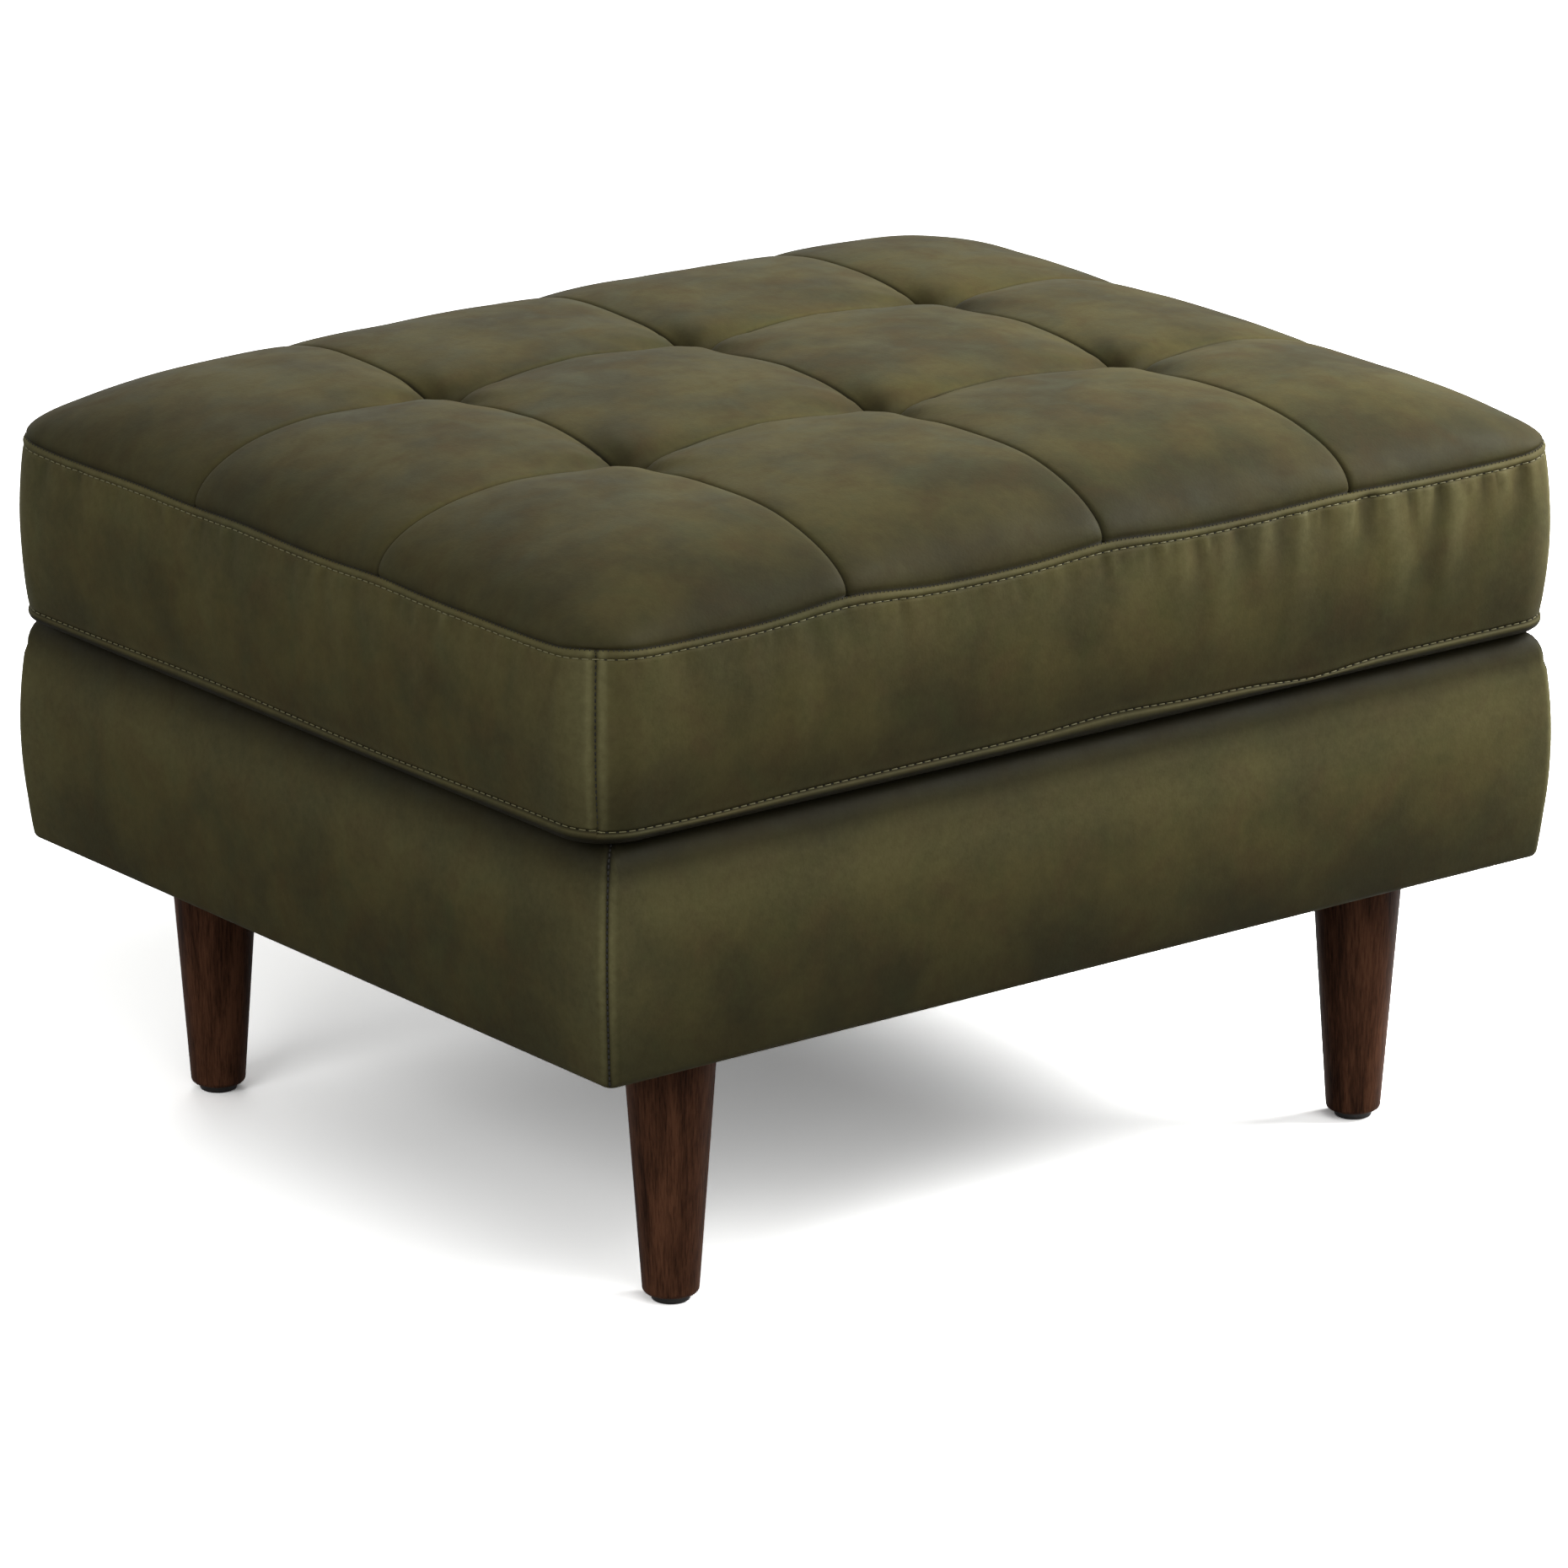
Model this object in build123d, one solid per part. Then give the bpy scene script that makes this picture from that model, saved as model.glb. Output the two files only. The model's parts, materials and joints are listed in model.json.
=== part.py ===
"""Tufted leather ottoman: a loose box cushion on an upholstered base with four turned legs.

Millimetres. X runs along the long side, -Y is the front and +Z is up.
The origin is on the floor, under the middle of the base.
"""

import math
import os

from build123d import *

os.makedirs("parts", exist_ok=True)

# Leather, cloth and board
leather = 1.3
cloth = 1.0
dust_cloth = 0.8
board = 18.0

# Legs and glides
leg_length = 159.5
leg_top_diameter = 56.0
leg_foot_diameter = 33.0
leg_foot_round = 4.0
foot_round_steps = 3
leg_inset_x = 91.0
leg_inset_y = 64.0
leg_sides = 32
glide_sides = 24
glide_height = 4.5
glide_diameter = 23.0
glide_pin_diameter = 3.0
glide_pin_length = 15.0

# Leg fixings, whose round parts all have the same number of flat sides
fixing_sides = 12
bolt_diameter = 8.0
bolt_in_leg = 32.0
bolt_above_leg = 42.0
nut_barrel_diameter = 11.0
nut_barrel_length = 14.0
nut_flange_width = 22.0
nut_flange_thickness = 1.5
fit_clearance = 0.15

# Base
base_width = 702.0
base_depth = 590.0
base_height = 145.5
base_bulge = 6.5
base_top_round = 22.0
base_bottom_round = 5.0
side_pad = 12.0
deck_lip = 46.0
under_lip = 22.0
deck_foam = 12.0
block_height = 42.0
block_margin = 30.0
block_chamfer = 24.0
stretcher_height = 70.0

# Elastic webbing, woven over and under
web_thickness = 1.5
web_width = 60.0
web_gap = 0.3
web_ramp = 12.0
web_landing = 12.0
web_rows = 3
web_columns = 4

# Cushion, and how far its seams stand out past the seams of the base
seat_gap = 0.3
cushion_overhang_x = 10.5
cushion_overhang_y = 1.0
cushion_corner = 32.0
corner_gores = 4
boxing_height = 111.7
boxing_bulge = 5.0
bottom_round = 6.0
bottom_turn_in = 14.0
panel_seam_gap = 0.6

# Top of the cushion: heights above the top seam
shoulder_rise = 28.0
shoulder_mid_run = 10.5
shoulder_mid_rise = 16.5
seam_rise = 43.0
panel_dome = 5.0
edge_panel_dome = 5.0

# Tufts lie where the panel seams cross. Each is a funnel of soft folds, given by its rings.
tuft_pitch_x = 187.0
tuft_pitch_y = 185.0
tuft_shift_x = 6.0
tuft_shift_y = 4.5
tuft_floor_rise = 14.0
tuft_ring_radii = (14.0, 34.0, 70.0)
tuft_ring_rises = (26.0, 37.0, 49.5)
tuft_folds = 16

# Ties that hold the tufts down, and the washers that they pull on
tie_diameter = 2.0
tie_clearance = 0.3
tie_sides = 6
washer_diameter = 30.0
washer_thickness = 2.0

# Filling
side_wadding = 14.0
core_above_seam = 6.0

# Zip in the back boxing
zip_from_corner = 61.5
zip_slot = 12.0
zip_recess = 3.5
zip_end_margin = 4.0
tape_thickness = 0.8
tape_tuck = 8.0
tooth_row_height = 2.0
tooth_row_depth = 2.2
tooth_row_gap = 1.6
stop_length = 3.0
slider_length = 11.0
slider_height = 8.0
slider_plate = 1.2
slider_post_length = 3.0
slider_clearance = 0.3
bridge_length = 5.0
bridge_width = 1.6
bridge_bar = 1.0
pull_length = 22.0
pull_height = 5.0
pull_thickness = 1.0
pull_window = 4.4
pull_bar = 1.2
pocket_margin = 1.0

# One overrun serves every cut
overrun = 10.0

# Overall sizes worked out from the sizes above
cushion_width = base_width + 2 * cushion_overhang_x
cushion_depth = base_depth + 2 * cushion_overhang_y
zip_length = cushion_width - 2 * zip_from_corner

# Levels
leg_top = glide_height + leg_length
frame_bottom = leg_top + dust_cloth
base_bottom = frame_bottom - leather
deck_top = base_bottom + base_height
web_stack = 2 * web_thickness + web_gap
rail_top = deck_top - cloth - deck_foam - web_stack
cushion_bottom = deck_top + seat_gap
top_seam = cushion_bottom + boxing_height
core_bottom = cushion_bottom + leather
core_top = top_seam + core_above_seam
zip_level = (cushion_bottom + bottom_round + top_seam) / 2
cushion_peak = top_seam + max(tuft_ring_rises[-1], seam_rise + panel_dome) + overrun

# Half sizes in plan
rail_half_x = base_width / 2 - leather - side_pad
rail_half_y = base_depth / 2 - leather - side_pad
inner_half_x = rail_half_x - board
inner_half_y = rail_half_y - board
half_x = cushion_width / 2
half_y = cushion_depth / 2
zip_inner_y = half_y + boxing_bulge - leather
zip_y = zip_inner_y - zip_recess - tape_thickness / 2

# Tuft places, which are also the places of the panel seams
seam_x = [tuft_shift_x + k * tuft_pitch_x for k in (-1, 0, 1)]
seam_y = [tuft_shift_y + k * tuft_pitch_y / 2 for k in (-1, 1)]
tufts = [(x, y) for x in seam_x for y in seam_y]

# Corners in turn, and the sides in turn from +X
corners = {"back_right": (1, 1), "back_left": (-1, 1), "front_left": (-1, -1), "front_right": (1, -1)}
sides = ["right", "back", "left", "front"]
leg_places = {
    name: (sx * (base_width / 2 - leg_inset_x), sy * (base_depth / 2 - leg_inset_y))
    for name, (sx, sy) in corners.items()
}

# Share of a radius that a quarter round stands in from its corner at its middle
round_share = 1 - math.sqrt(0.5)


def save(name, shape):
    export_step(shape, f"parts/{name}.step")


def group(solids):
    return Compound(children=list(solids))


def section(points):
    """Closed face in the XZ plane. A step written as a pair of points is an arc through the first of them."""
    edges = []
    start = points[0]
    for step in list(points[1:]) + [points[0]]:
        if isinstance(step[0], tuple):
            middle, end = step
            edges.append(ThreePointArc(*[(u, 0, z) for u, z in (start, middle, end)]))
        else:
            end = step
            edges.append(Line((start[0], 0, start[1]), (end[0], 0, end[1])))
        start = end
    return Face(Wire(edges))


def pulled(face, half_length):
    """Extrude a section both ways along Y."""
    return extrude(face, half_length, dir=(0, 1, 0), both=True)


def bar(x0, x1, y0, y1, z0, z1):
    """Box between two corners."""
    size = Box(abs(x1 - x0), abs(y1 - y0), abs(z1 - z0))
    return Pos((x0 + x1) / 2, (y0 + y1) / 2, (z0 + z1) / 2) * size


def polygon(points):
    return Face(Wire.make_polygon(points))


def faceted(rings, count):
    """Upright solid of many flat sides through rings given as radius and height."""
    loops = []
    for radius, z in rings:
        angles = [2 * math.pi * k / count for k in range(count)]
        loops.append([(radius * math.cos(a), radius * math.sin(a), z) for a in angles])
    faces = [polygon(loops[0]), polygon(loops[-1])]
    for low, high in zip(loops[:-1], loops[1:]):
        for k in range(count):
            n = (k + 1) % count
            faces.append(polygon([low[k], low[n], high[n], high[k]]))
    return Solid(Shell(faces))


def rod(diameter, z0, z1, count):
    """Upright bar between two heights."""
    return faceted([(diameter / 2, z0), (diameter / 2, z1)], count)


def side_cell(half_along, reach, depth, z0, z1):
    """Space of one side, cut off at 45 degrees through its two corners, for the side that faces +X."""
    near = half_along - depth
    far = half_along + overrun
    plan = Polyline((-depth, -near), (overrun, -far), (overrun, far), (-depth, near), close=True)
    return Pos(reach, 0, z0) * extrude(make_face(plan), z1 - z0)


def facing(side, shape):
    """Turn a shape made for the side that faces +X round to another side."""
    return Rot(0, 0, 90 * sides.index(side)) * shape


def along_and_reach(side, half_width, half_depth):
    """Half length of a side, and how far out from the middle it lies."""
    return (half_depth, half_width) if side in ("right", "left") else (half_width, half_depth)


def base_region(inset):
    """Section of one side of the base: bulging out between a small round below and a large one above."""
    low = base_bottom + inset
    high = deck_top - inset
    middle = (low + high) / 2
    back = -deck_lip - overrun
    face = section([(back, low), (-inset, low), ((base_bulge - inset, middle), (-inset, high)), (back, high)])
    for place, radius in ((0, base_bottom_round), (-1, base_top_round)):
        outer = face.vertices().filter_by(lambda v: v.X > back + overrun).sort_by(Axis.Z)
        face = face.fillet_2d(radius - inset, [outer[place]])
    return face


def window(u0, u1, z0, z1):
    return section([(u0, z0), (u1, z0), (u1, z1), (u0, z1)])


def base_sides():
    """Leather panels that turn in above and below, and the foam pads behind them."""
    knee = deck_top - base_top_round
    low_part = window(-under_lip, overrun, base_bottom - overrun, knee)
    high_part = window(-deck_lip, overrun, knee, deck_top + overrun)
    wall = base_region(0) - base_region(leather)
    leather_section = wall & (low_part + high_part)
    behind = -leather - side_pad
    pad_section = base_region(leather) & window(-deck_lip, overrun, frame_bottom, deck_top)
    pad_section = pad_section - window(-deck_lip - overrun, behind, base_bottom, rail_top + web_stack)
    for side in sides:
        along, reach = along_and_reach(side, base_width / 2, base_depth / 2)
        cell = side_cell(along, reach, deck_lip + overrun, base_bottom - overrun, deck_top + overrun)
        for name, face in (("leather", leather_section), ("pad", pad_section)):
            solid = Pos(reach, 0, 0) * pulled(face, along + overrun)
            save(f"base_{name}_{side}", facing(side, solid & cell))


def frame():
    """Rails, stretcher and corner blocks, glued and stapled together."""
    for name, s in (("front", -1), ("back", 1)):
        rail = bar(-rail_half_x, rail_half_x, s * inner_half_y, s * rail_half_y, frame_bottom, rail_top)
        save(f"rail_{name}", rail)
    for name, s in (("left", -1), ("right", 1)):
        rail = bar(s * inner_half_x, s * rail_half_x, -inner_half_y, inner_half_y, frame_bottom, rail_top)
        save(f"rail_{name}", rail)
    stretcher_top = frame_bottom + stretcher_height
    save("stretcher", bar(-board / 2, board / 2, -inner_half_y, inner_half_y, frame_bottom, stretcher_top))
    for name, signs in corners.items():
        save(f"corner_block_{name}", corner_block(name, *signs))


def corner_block(name, sx, sy):
    """Block in a corner of the frame, with its inner corner cut off and the nut's bore over the leg."""
    x, y = leg_places[name]
    outer_x, outer_y = sx * inner_half_x, sy * inner_half_y
    far_x, far_y = x - sx * block_margin, y - sy * block_margin
    plan = Polyline(
        (outer_x, outer_y),
        (far_x, outer_y),
        (far_x, far_y + sy * block_chamfer),
        (far_x + sx * block_chamfer, far_y),
        (outer_x, far_y),
        close=True,
    )
    block = Pos(0, 0, frame_bottom) * extrude(make_face(plan), block_height)
    top = frame_bottom + block_height
    bore = rod(nut_barrel_diameter + 2 * fit_clearance, frame_bottom - overrun, top + overrun, fixing_sides)
    return block - Pos(x, y, 0) * bore


def legs():
    """Turned legs with their glides, and the bolts and nuts that hold them to the corner blocks."""
    core = leg_foot_diameter / 2 - leg_foot_round
    turns = [math.pi / 2 * k / foot_round_steps for k in range(foot_round_steps + 1)]
    leg_rings = [
        (core + leg_foot_round * math.sin(turn), glide_height + leg_foot_round * (1 - math.cos(turn)))
        for turn in turns
    ]
    leg_rings.append((leg_top_diameter / 2, leg_top))
    bolt_bore = bolt_diameter + 2 * fit_clearance
    pin_bore = glide_pin_diameter + 2 * fit_clearance
    bolt_bottom = leg_top - bolt_in_leg
    pin_top = glide_height + glide_pin_length
    leg = faceted(leg_rings, leg_sides)
    leg = leg - rod(bolt_bore, bolt_bottom, leg_top + overrun, fixing_sides)
    leg = leg - rod(pin_bore, 0, pin_top, fixing_sides)
    glide = rod(glide_diameter, 0, glide_height, glide_sides)
    glide = glide + rod(glide_pin_diameter, glide_height, pin_top, fixing_sides)
    bolt = rod(bolt_diameter, bolt_bottom, leg_top + bolt_above_leg, fixing_sides)
    nut = flange_nut(frame_bottom + block_height, bolt_bore)
    bolts, nuts = [], []
    for name, place in leg_places.items():
        at = Pos(*place, 0)
        save(f"leg_{name}", at * leg)
        save(f"glide_{name}", at * glide)
        bolts.append(at * bolt)
        nuts.append(at * nut)
    save("hanger_bolts", group(bolts))
    save("flange_nuts", group(nuts))


def flange_nut(seat, bore):
    """Square flange on top of the block, and a barrel down into the block."""
    half = nut_flange_width / 2
    top = seat + nut_flange_thickness
    bottom = seat - nut_barrel_length
    nut = bar(-half, half, -half, half, seat, top) + rod(nut_barrel_diameter, bottom, seat, fixing_sides)
    return nut - rod(bore, bottom - overrun, top + overrun, fixing_sides)


def strap(half_length, crossings, overs):
    """One strap of the webbing, along X: it lies low, and is raised where it passes over a crossing strap."""
    low = rail_top
    high = rail_top + web_thickness + web_gap
    reach = web_width / 2 + web_gap
    path = [(-half_length, low)]
    for place, over in zip(crossings, overs):
        if over:
            path.append((place - reach - web_ramp, low))
            path.append((place - reach, high))
            path.append((place + reach, high))
            path.append((place + reach + web_ramp, low))
    path.append((half_length, low))
    upper = [(u, z + web_thickness) for u, z in reversed(path)]
    return pulled(section(path + upper), web_width / 2)


def spread(count, half):
    """Middles of a number of equal bays."""
    return [(2 * k + 1 - count) * half / count for k in range(count)]


def springing():
    """Webbing, deck foam and deck cloth on top of the frame, and the dust cover under it."""
    columns = spread(web_columns, inner_half_x)
    rows = spread(web_rows, inner_half_y)
    across, along = [], []
    for j, y in enumerate(rows):
        overs = [(i + j) % 2 == 0 for i in range(web_columns)]
        across.append(Pos(0, y, 0) * strap(inner_half_x + web_landing, columns, overs))
    for i, x in enumerate(columns):
        overs = [(i + j) % 2 == 1 for j in range(web_rows)]
        along.append(Pos(x, 0, 0) * (Rot(0, 0, 90) * strap(inner_half_y + web_landing, rows, overs)))
    save("webbing_side_to_side", group(across))
    save("webbing_front_to_back", group(along))
    deck_x = base_width / 2 - deck_lip
    deck_y = base_depth / 2 - deck_lip
    foam_top = deck_top - cloth
    save("deck_foam", bar(-deck_x, deck_x, -deck_y, deck_y, foam_top - deck_foam, foam_top))
    save("deck_cloth", bar(-deck_x, deck_x, -deck_y, deck_y, foam_top, deck_top))
    under_x = base_width / 2 - under_lip
    under_y = base_depth / 2 - under_lip
    cover = bar(-under_x, under_x, -under_y, under_y, leg_top, frame_bottom)
    slit = bolt_diameter / 2 + fit_clearance
    for x, y in leg_places.values():
        cover = cover - bar(x - slit, x + slit, y - slit, y + slit, leg_top - overrun, frame_bottom + overrun)
    save("dust_cover", cover)


def flank(wall, drop):
    """Right side of the cushion's section, from the bottom up round the bulging boxing and the shoulder."""
    low = cushion_bottom + drop
    turn = bottom_round - drop
    seam = top_seam - drop
    rounded = (wall - turn * round_share, low + turn * round_share)
    bulged = (wall + boxing_bulge, (low + turn + seam) / 2)
    shoulder = (wall + drop - cushion_corner, seam + shoulder_rise)
    arched = (wall + drop - shoulder_mid_run, seam + shoulder_mid_rise)
    return [
        (wall - turn, low),
        (rounded, (wall, low + turn)),
        (bulged, (wall, seam)),
        (arched, shoulder),
    ]


def arch(half, seams, drop):
    """Section right across the cushion, with one shallow arc to each panel of the top."""
    right = flank(half - drop, drop)
    level = top_seam - drop
    knots = [right[-1][1]] + [(s, level + seam_rise) for s in reversed(seams)]
    knots.append((cushion_corner - half, level + shoulder_rise))
    domes = [edge_panel_dome] + [panel_dome] * (len(seams) - 1) + [edge_panel_dome]
    top = []
    for a, b, dome in zip(knots[:-1], knots[1:], domes):
        top.append((((a[0] + b[0]) / 2, (a[1] + b[1]) / 2 + dome), b))
    left = []
    ends = [right[0]] + [step[1] for step in right[1:]]
    for step, end in zip(right[:0:-1], ends[-2::-1]):
        middle = step[0]
        left.append(((-middle[0], middle[1]), (-end[0], end[1])))
    return section(right + top + left)


def corner_piece(drop):
    """Corner at the back right, about its own upright axis: gores that each carry the flank's section."""
    rim = cushion_corner - drop
    outline = [(-rim, cushion_bottom + drop)] + flank(rim, drop)
    outline.append((-rim, top_seam - drop + shoulder_rise))
    prism = pulled(section(outline), cushion_corner + boxing_bulge)
    piece = prism
    for k in range(1, corner_gores + 1):
        piece = piece & (Rot(0, 0, 90 * k / corner_gores) * prism)
    return piece


def tuft_cutter(drop):
    """Funnel of one tuft, and the hole for its tie below."""
    hole = tie_diameter / 2 + tie_clearance
    rings = [(hole, cushion_bottom - overrun), (hole, top_seam + tuft_floor_rise - drop)]
    rings += [(r, top_seam + z - drop) for r, z in zip(tuft_ring_radii, tuft_ring_rises)]
    rings.append((tuft_ring_radii[-1], cushion_peak))
    return faceted(rings, tuft_folds)


def cushion_form(drop):
    """Whole cushion as one closed form, or its inside where drop is the thickness of the leather."""
    lengthways = pulled(arch(half_x, seam_x, drop), half_y + overrun)
    crossways = pulled(arch(half_y, seam_y, drop), half_x + overrun)
    form = lengthways & (Rot(0, 0, 90) * crossways)
    corner = corner_piece(drop)
    far = cushion_corner + overrun
    cell = bar(0, far, 0, far, cushion_bottom - overrun, cushion_peak)
    for k, (sx, sy) in enumerate(corners.values()):
        place = Pos(sx * (half_x - cushion_corner), sy * (half_y - cushion_corner), 0) * Rot(0, 0, 90 * k)
        form = form - place * cell + place * (corner & cell)
    cutter = tuft_cutter(drop)
    for place in tufts:
        form = form - Pos(*place, 0) * cutter
    return form


def slab(z0, z1):
    """Everything between two heights."""
    return bar(-cushion_width, cushion_width, -cushion_width, cushion_width, z0, z1)


def tufted_top(skin):
    """Twelve leather panels, sewn together along the seams that meet at the tufts."""
    gap = panel_seam_gap / 2
    lines_x = [-cushion_width] + seam_x + [cushion_width]
    lines_y = [-cushion_width] + seam_y + [cushion_width]
    panels = []
    for x0, x1 in zip(lines_x[:-1], lines_x[1:]):
        for y0, y1 in zip(lines_y[:-1], lines_y[1:]):
            cell = bar(x0 + gap, x1 - gap, y0 + gap, y1 - gap, top_seam, cushion_peak)
            panels += (skin & cell).solids()
    save("tufted_top", group(panels))


def boxing(skin):
    """Side strips of the cushion, the zipped strips at its back and the cover under it."""
    flat_x = half_x - bottom_turn_in
    flat_y = half_y - bottom_turn_in
    under = bar(-flat_x, flat_x, -flat_y, flat_y, cushion_bottom, core_bottom)
    save("bottom_cover", under)
    band = (skin & slab(cushion_bottom - overrun, top_seam)) - under
    for side in sides:
        along, reach = along_and_reach(side, half_x, half_y)
        cell = side_cell(along, reach, cushion_corner + overrun, cushion_bottom - overrun, top_seam)
        strip = band & facing(side, cell)
        if side == "back":
            zipped_boxing(strip)
        else:
            save(f"boxing_{side}", strip)


def zipped_boxing(strip):
    """Back strip in two halves, whose edges turn in to carry the zip."""
    end = zip_length / 2 + zip_end_margin
    lip_back = zip_inner_y - zip_recess
    lip_front = zip_inner_y + leather / 2
    for name, s in (("upper", 1), ("lower", -1)):
        edge = zip_level + s * zip_slot / 2
        far = zip_level + s * boxing_height
        half_strip = strip & bar(-cushion_width, cushion_width, 0, cushion_width, zip_level, far)
        half_strip = half_strip - bar(-end, end, 0, cushion_width, zip_level, edge)
        lip = bar(-end, end, lip_back, lip_front, edge, edge + s * leather)
        save(f"boxing_back_{name}", half_strip + lip)
    zip_fastener()


def level_bar(x0, x1, y0, y1, height):
    """Box whose height is shared equally above and below zero."""
    return bar(x0, x1, y0, y1, -height / 2, height / 2)


def zip_fastener():
    """Two tapes with their rows of teeth, the end stops, and the slider at the closed end."""
    at = Pos(0, zip_y, zip_level)
    half = zip_length / 2
    tape = tape_thickness / 2
    teeth = tooth_row_depth / 2
    first = tooth_row_gap / 2
    upper = bar(-half, half, -tape, tape, first, zip_slot / 2 + tape_tuck)
    upper = upper + bar(-half, half, -teeth, teeth, first, first + tooth_row_height)
    save("zip_tape_upper", at * upper)
    save("zip_tape_lower", at * mirror(upper, Plane.XY))
    stop = level_bar(half - stop_length, half, -teeth, teeth, tooth_row_gap)
    save("zip_stops", group([at * stop, at * mirror(stop, Plane.YZ)]))
    zip_slider(at, -half + stop_length + slider_clearance)


def zip_slider(at, start):
    """Slider with two plates, a post between the tooth rows and a bridge that holds the pull."""
    end = start + slider_length
    inside = tooth_row_depth / 2 + slider_clearance
    outside = inside + slider_plate
    slider = level_bar(start, end, inside, outside, slider_height)
    slider = slider + level_bar(start, end, -outside, -inside, slider_height)
    post_height = tooth_row_gap - 2 * slider_clearance
    slider = slider + level_bar(start, start + slider_post_length, -outside, outside, post_height)
    first = start + (slider_length - bridge_length) / 2
    last = first + bridge_length
    under = outside + pull_thickness + 2 * slider_clearance
    bridge = level_bar(first, last, outside, under + bridge_bar, bridge_width)
    bridge = bridge - level_bar(first + bridge_bar, last - bridge_bar, outside, under, slider_height)
    save("zip_slider", at * (slider + bridge))
    near = first + bridge_bar + slider_clearance
    back = outside + slider_clearance
    pull = level_bar(near, near + pull_length, back, back + pull_thickness, pull_height)
    hole = near + pull_bar
    hole_length = bridge_length - bridge_bar - slider_clearance
    pull = pull - level_bar(hole, hole + hole_length, back - overrun, back + overrun, pull_window)
    save("zip_pull", at * pull)


def filling(inside):
    """Foam core, wadding over and round it, the ties and their washers."""
    core_x = half_x - leather - side_wadding
    core_y = half_y - leather - side_wadding
    block = bar(-core_x, core_x, -core_y, core_y, core_bottom, core_top)
    block = fillet(block.edges().filter_by(Axis.Z), cushion_corner - leather - side_wadding)
    around = (inside & slab(core_bottom - overrun, core_top)) - block
    pocket_depth = tooth_row_depth / 2 + slider_clearance + slider_plate + pocket_margin
    pocket_x = zip_length / 2 + zip_end_margin + pocket_margin
    pocket_height = zip_slot + 2 * tape_tuck + 2 * pocket_margin
    pocket = level_bar(-pocket_x, pocket_x, zip_y - pocket_depth, cushion_width, pocket_height)
    pocket = Pos(0, 0, zip_level) * pocket
    for side in sides:
        along, reach = along_and_reach(side, half_x, half_y)
        cell = side_cell(along, reach, cushion_corner + overrun, core_bottom - overrun, core_top)
        piece = around & facing(side, cell)
        save(f"side_wadding_{side}", piece - pocket if side == "back" else piece)
    save("top_wadding", inside & slab(core_top, cushion_peak))
    hole = tie_diameter + 2 * tie_clearance
    seat = washer_diameter + 2 * tie_clearance
    washer_top = core_bottom + washer_thickness
    ties, washers = [], []
    tie = rod(tie_diameter, core_bottom, top_seam + tuft_floor_rise, tie_sides)
    tie_hole = rod(hole, core_bottom - overrun, core_top + overrun, tie_sides)
    washer = rod(washer_diameter, core_bottom, washer_top, tuft_folds) - tie_hole
    pocket = rod(seat, core_bottom - overrun, washer_top, tuft_folds)
    for place in tufts:
        at = Pos(*place, 0)
        block = block - at * pocket - at * tie_hole
        ties.append(at * tie)
        washers.append(at * washer)
    save("foam_core", block)
    save("tuft_ties", group(ties))
    save("tie_washers", group(washers))


def main():
    base_sides()
    frame()
    legs()
    springing()
    outside = cushion_form(0)
    inside = cushion_form(leather)
    skin = outside - inside
    tufted_top(skin)
    boxing(skin)
    filling(inside)


main()
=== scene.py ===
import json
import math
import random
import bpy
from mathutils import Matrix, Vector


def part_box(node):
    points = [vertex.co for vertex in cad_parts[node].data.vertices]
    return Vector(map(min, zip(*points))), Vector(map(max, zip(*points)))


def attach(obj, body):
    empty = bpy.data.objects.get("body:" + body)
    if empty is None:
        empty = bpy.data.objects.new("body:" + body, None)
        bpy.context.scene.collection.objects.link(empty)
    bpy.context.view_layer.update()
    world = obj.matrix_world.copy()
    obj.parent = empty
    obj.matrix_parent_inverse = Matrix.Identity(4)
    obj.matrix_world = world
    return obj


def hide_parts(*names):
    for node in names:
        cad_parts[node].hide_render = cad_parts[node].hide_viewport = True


bl_info = {
    "name": "Tufted ottoman",
    "version": (1, 0, 0),
    "blender": (4, 5, 0),
    "location": "View3D > Sidebar > Ottoman",
    "description": "Dresses a tufted leather ottoman's frame with its covers, seams, legs and zip",
    "category": "Object",
}

import bmesh
import bpy
from bpy.props import FloatProperty, FloatVectorProperty, PointerProperty
from mathutils import Vector, noise
from mathutils.bvhtree import BVHTree
from mathutils.interpolate import poly_3d_calc

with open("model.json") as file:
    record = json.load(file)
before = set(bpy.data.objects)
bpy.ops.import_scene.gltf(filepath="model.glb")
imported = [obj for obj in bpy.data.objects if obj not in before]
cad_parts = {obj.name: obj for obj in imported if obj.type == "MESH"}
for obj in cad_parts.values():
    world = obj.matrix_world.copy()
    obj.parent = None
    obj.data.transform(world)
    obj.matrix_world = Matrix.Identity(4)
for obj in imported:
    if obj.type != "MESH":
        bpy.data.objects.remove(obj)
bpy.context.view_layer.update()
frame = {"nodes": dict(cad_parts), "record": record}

MM = 0.001


def linear(hex_colour):
    """Linear colour of an sRGB hex value."""
    parts = [int(hex_colour[i:i + 2], 16) / 255 for i in (1, 3, 5)]
    return [c / 12.92 if c <= 0.04045 else ((c + 0.055) / 1.055) ** 2.4 for c in parts] + [1.0]


def colour(name, description, hex_colour):
    return FloatVectorProperty(
        name=name,
        description=description,
        size=4,
        subtype="COLOR",
        min=0,
        max=1,
        default=linear(hex_colour),
    )


def size(name, description, millimetres):
    return FloatProperty(
        name=name,
        description=description,
        default=millimetres * MM,
        min=0,
        precision=5,
        unit="LENGTH",
    )


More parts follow.
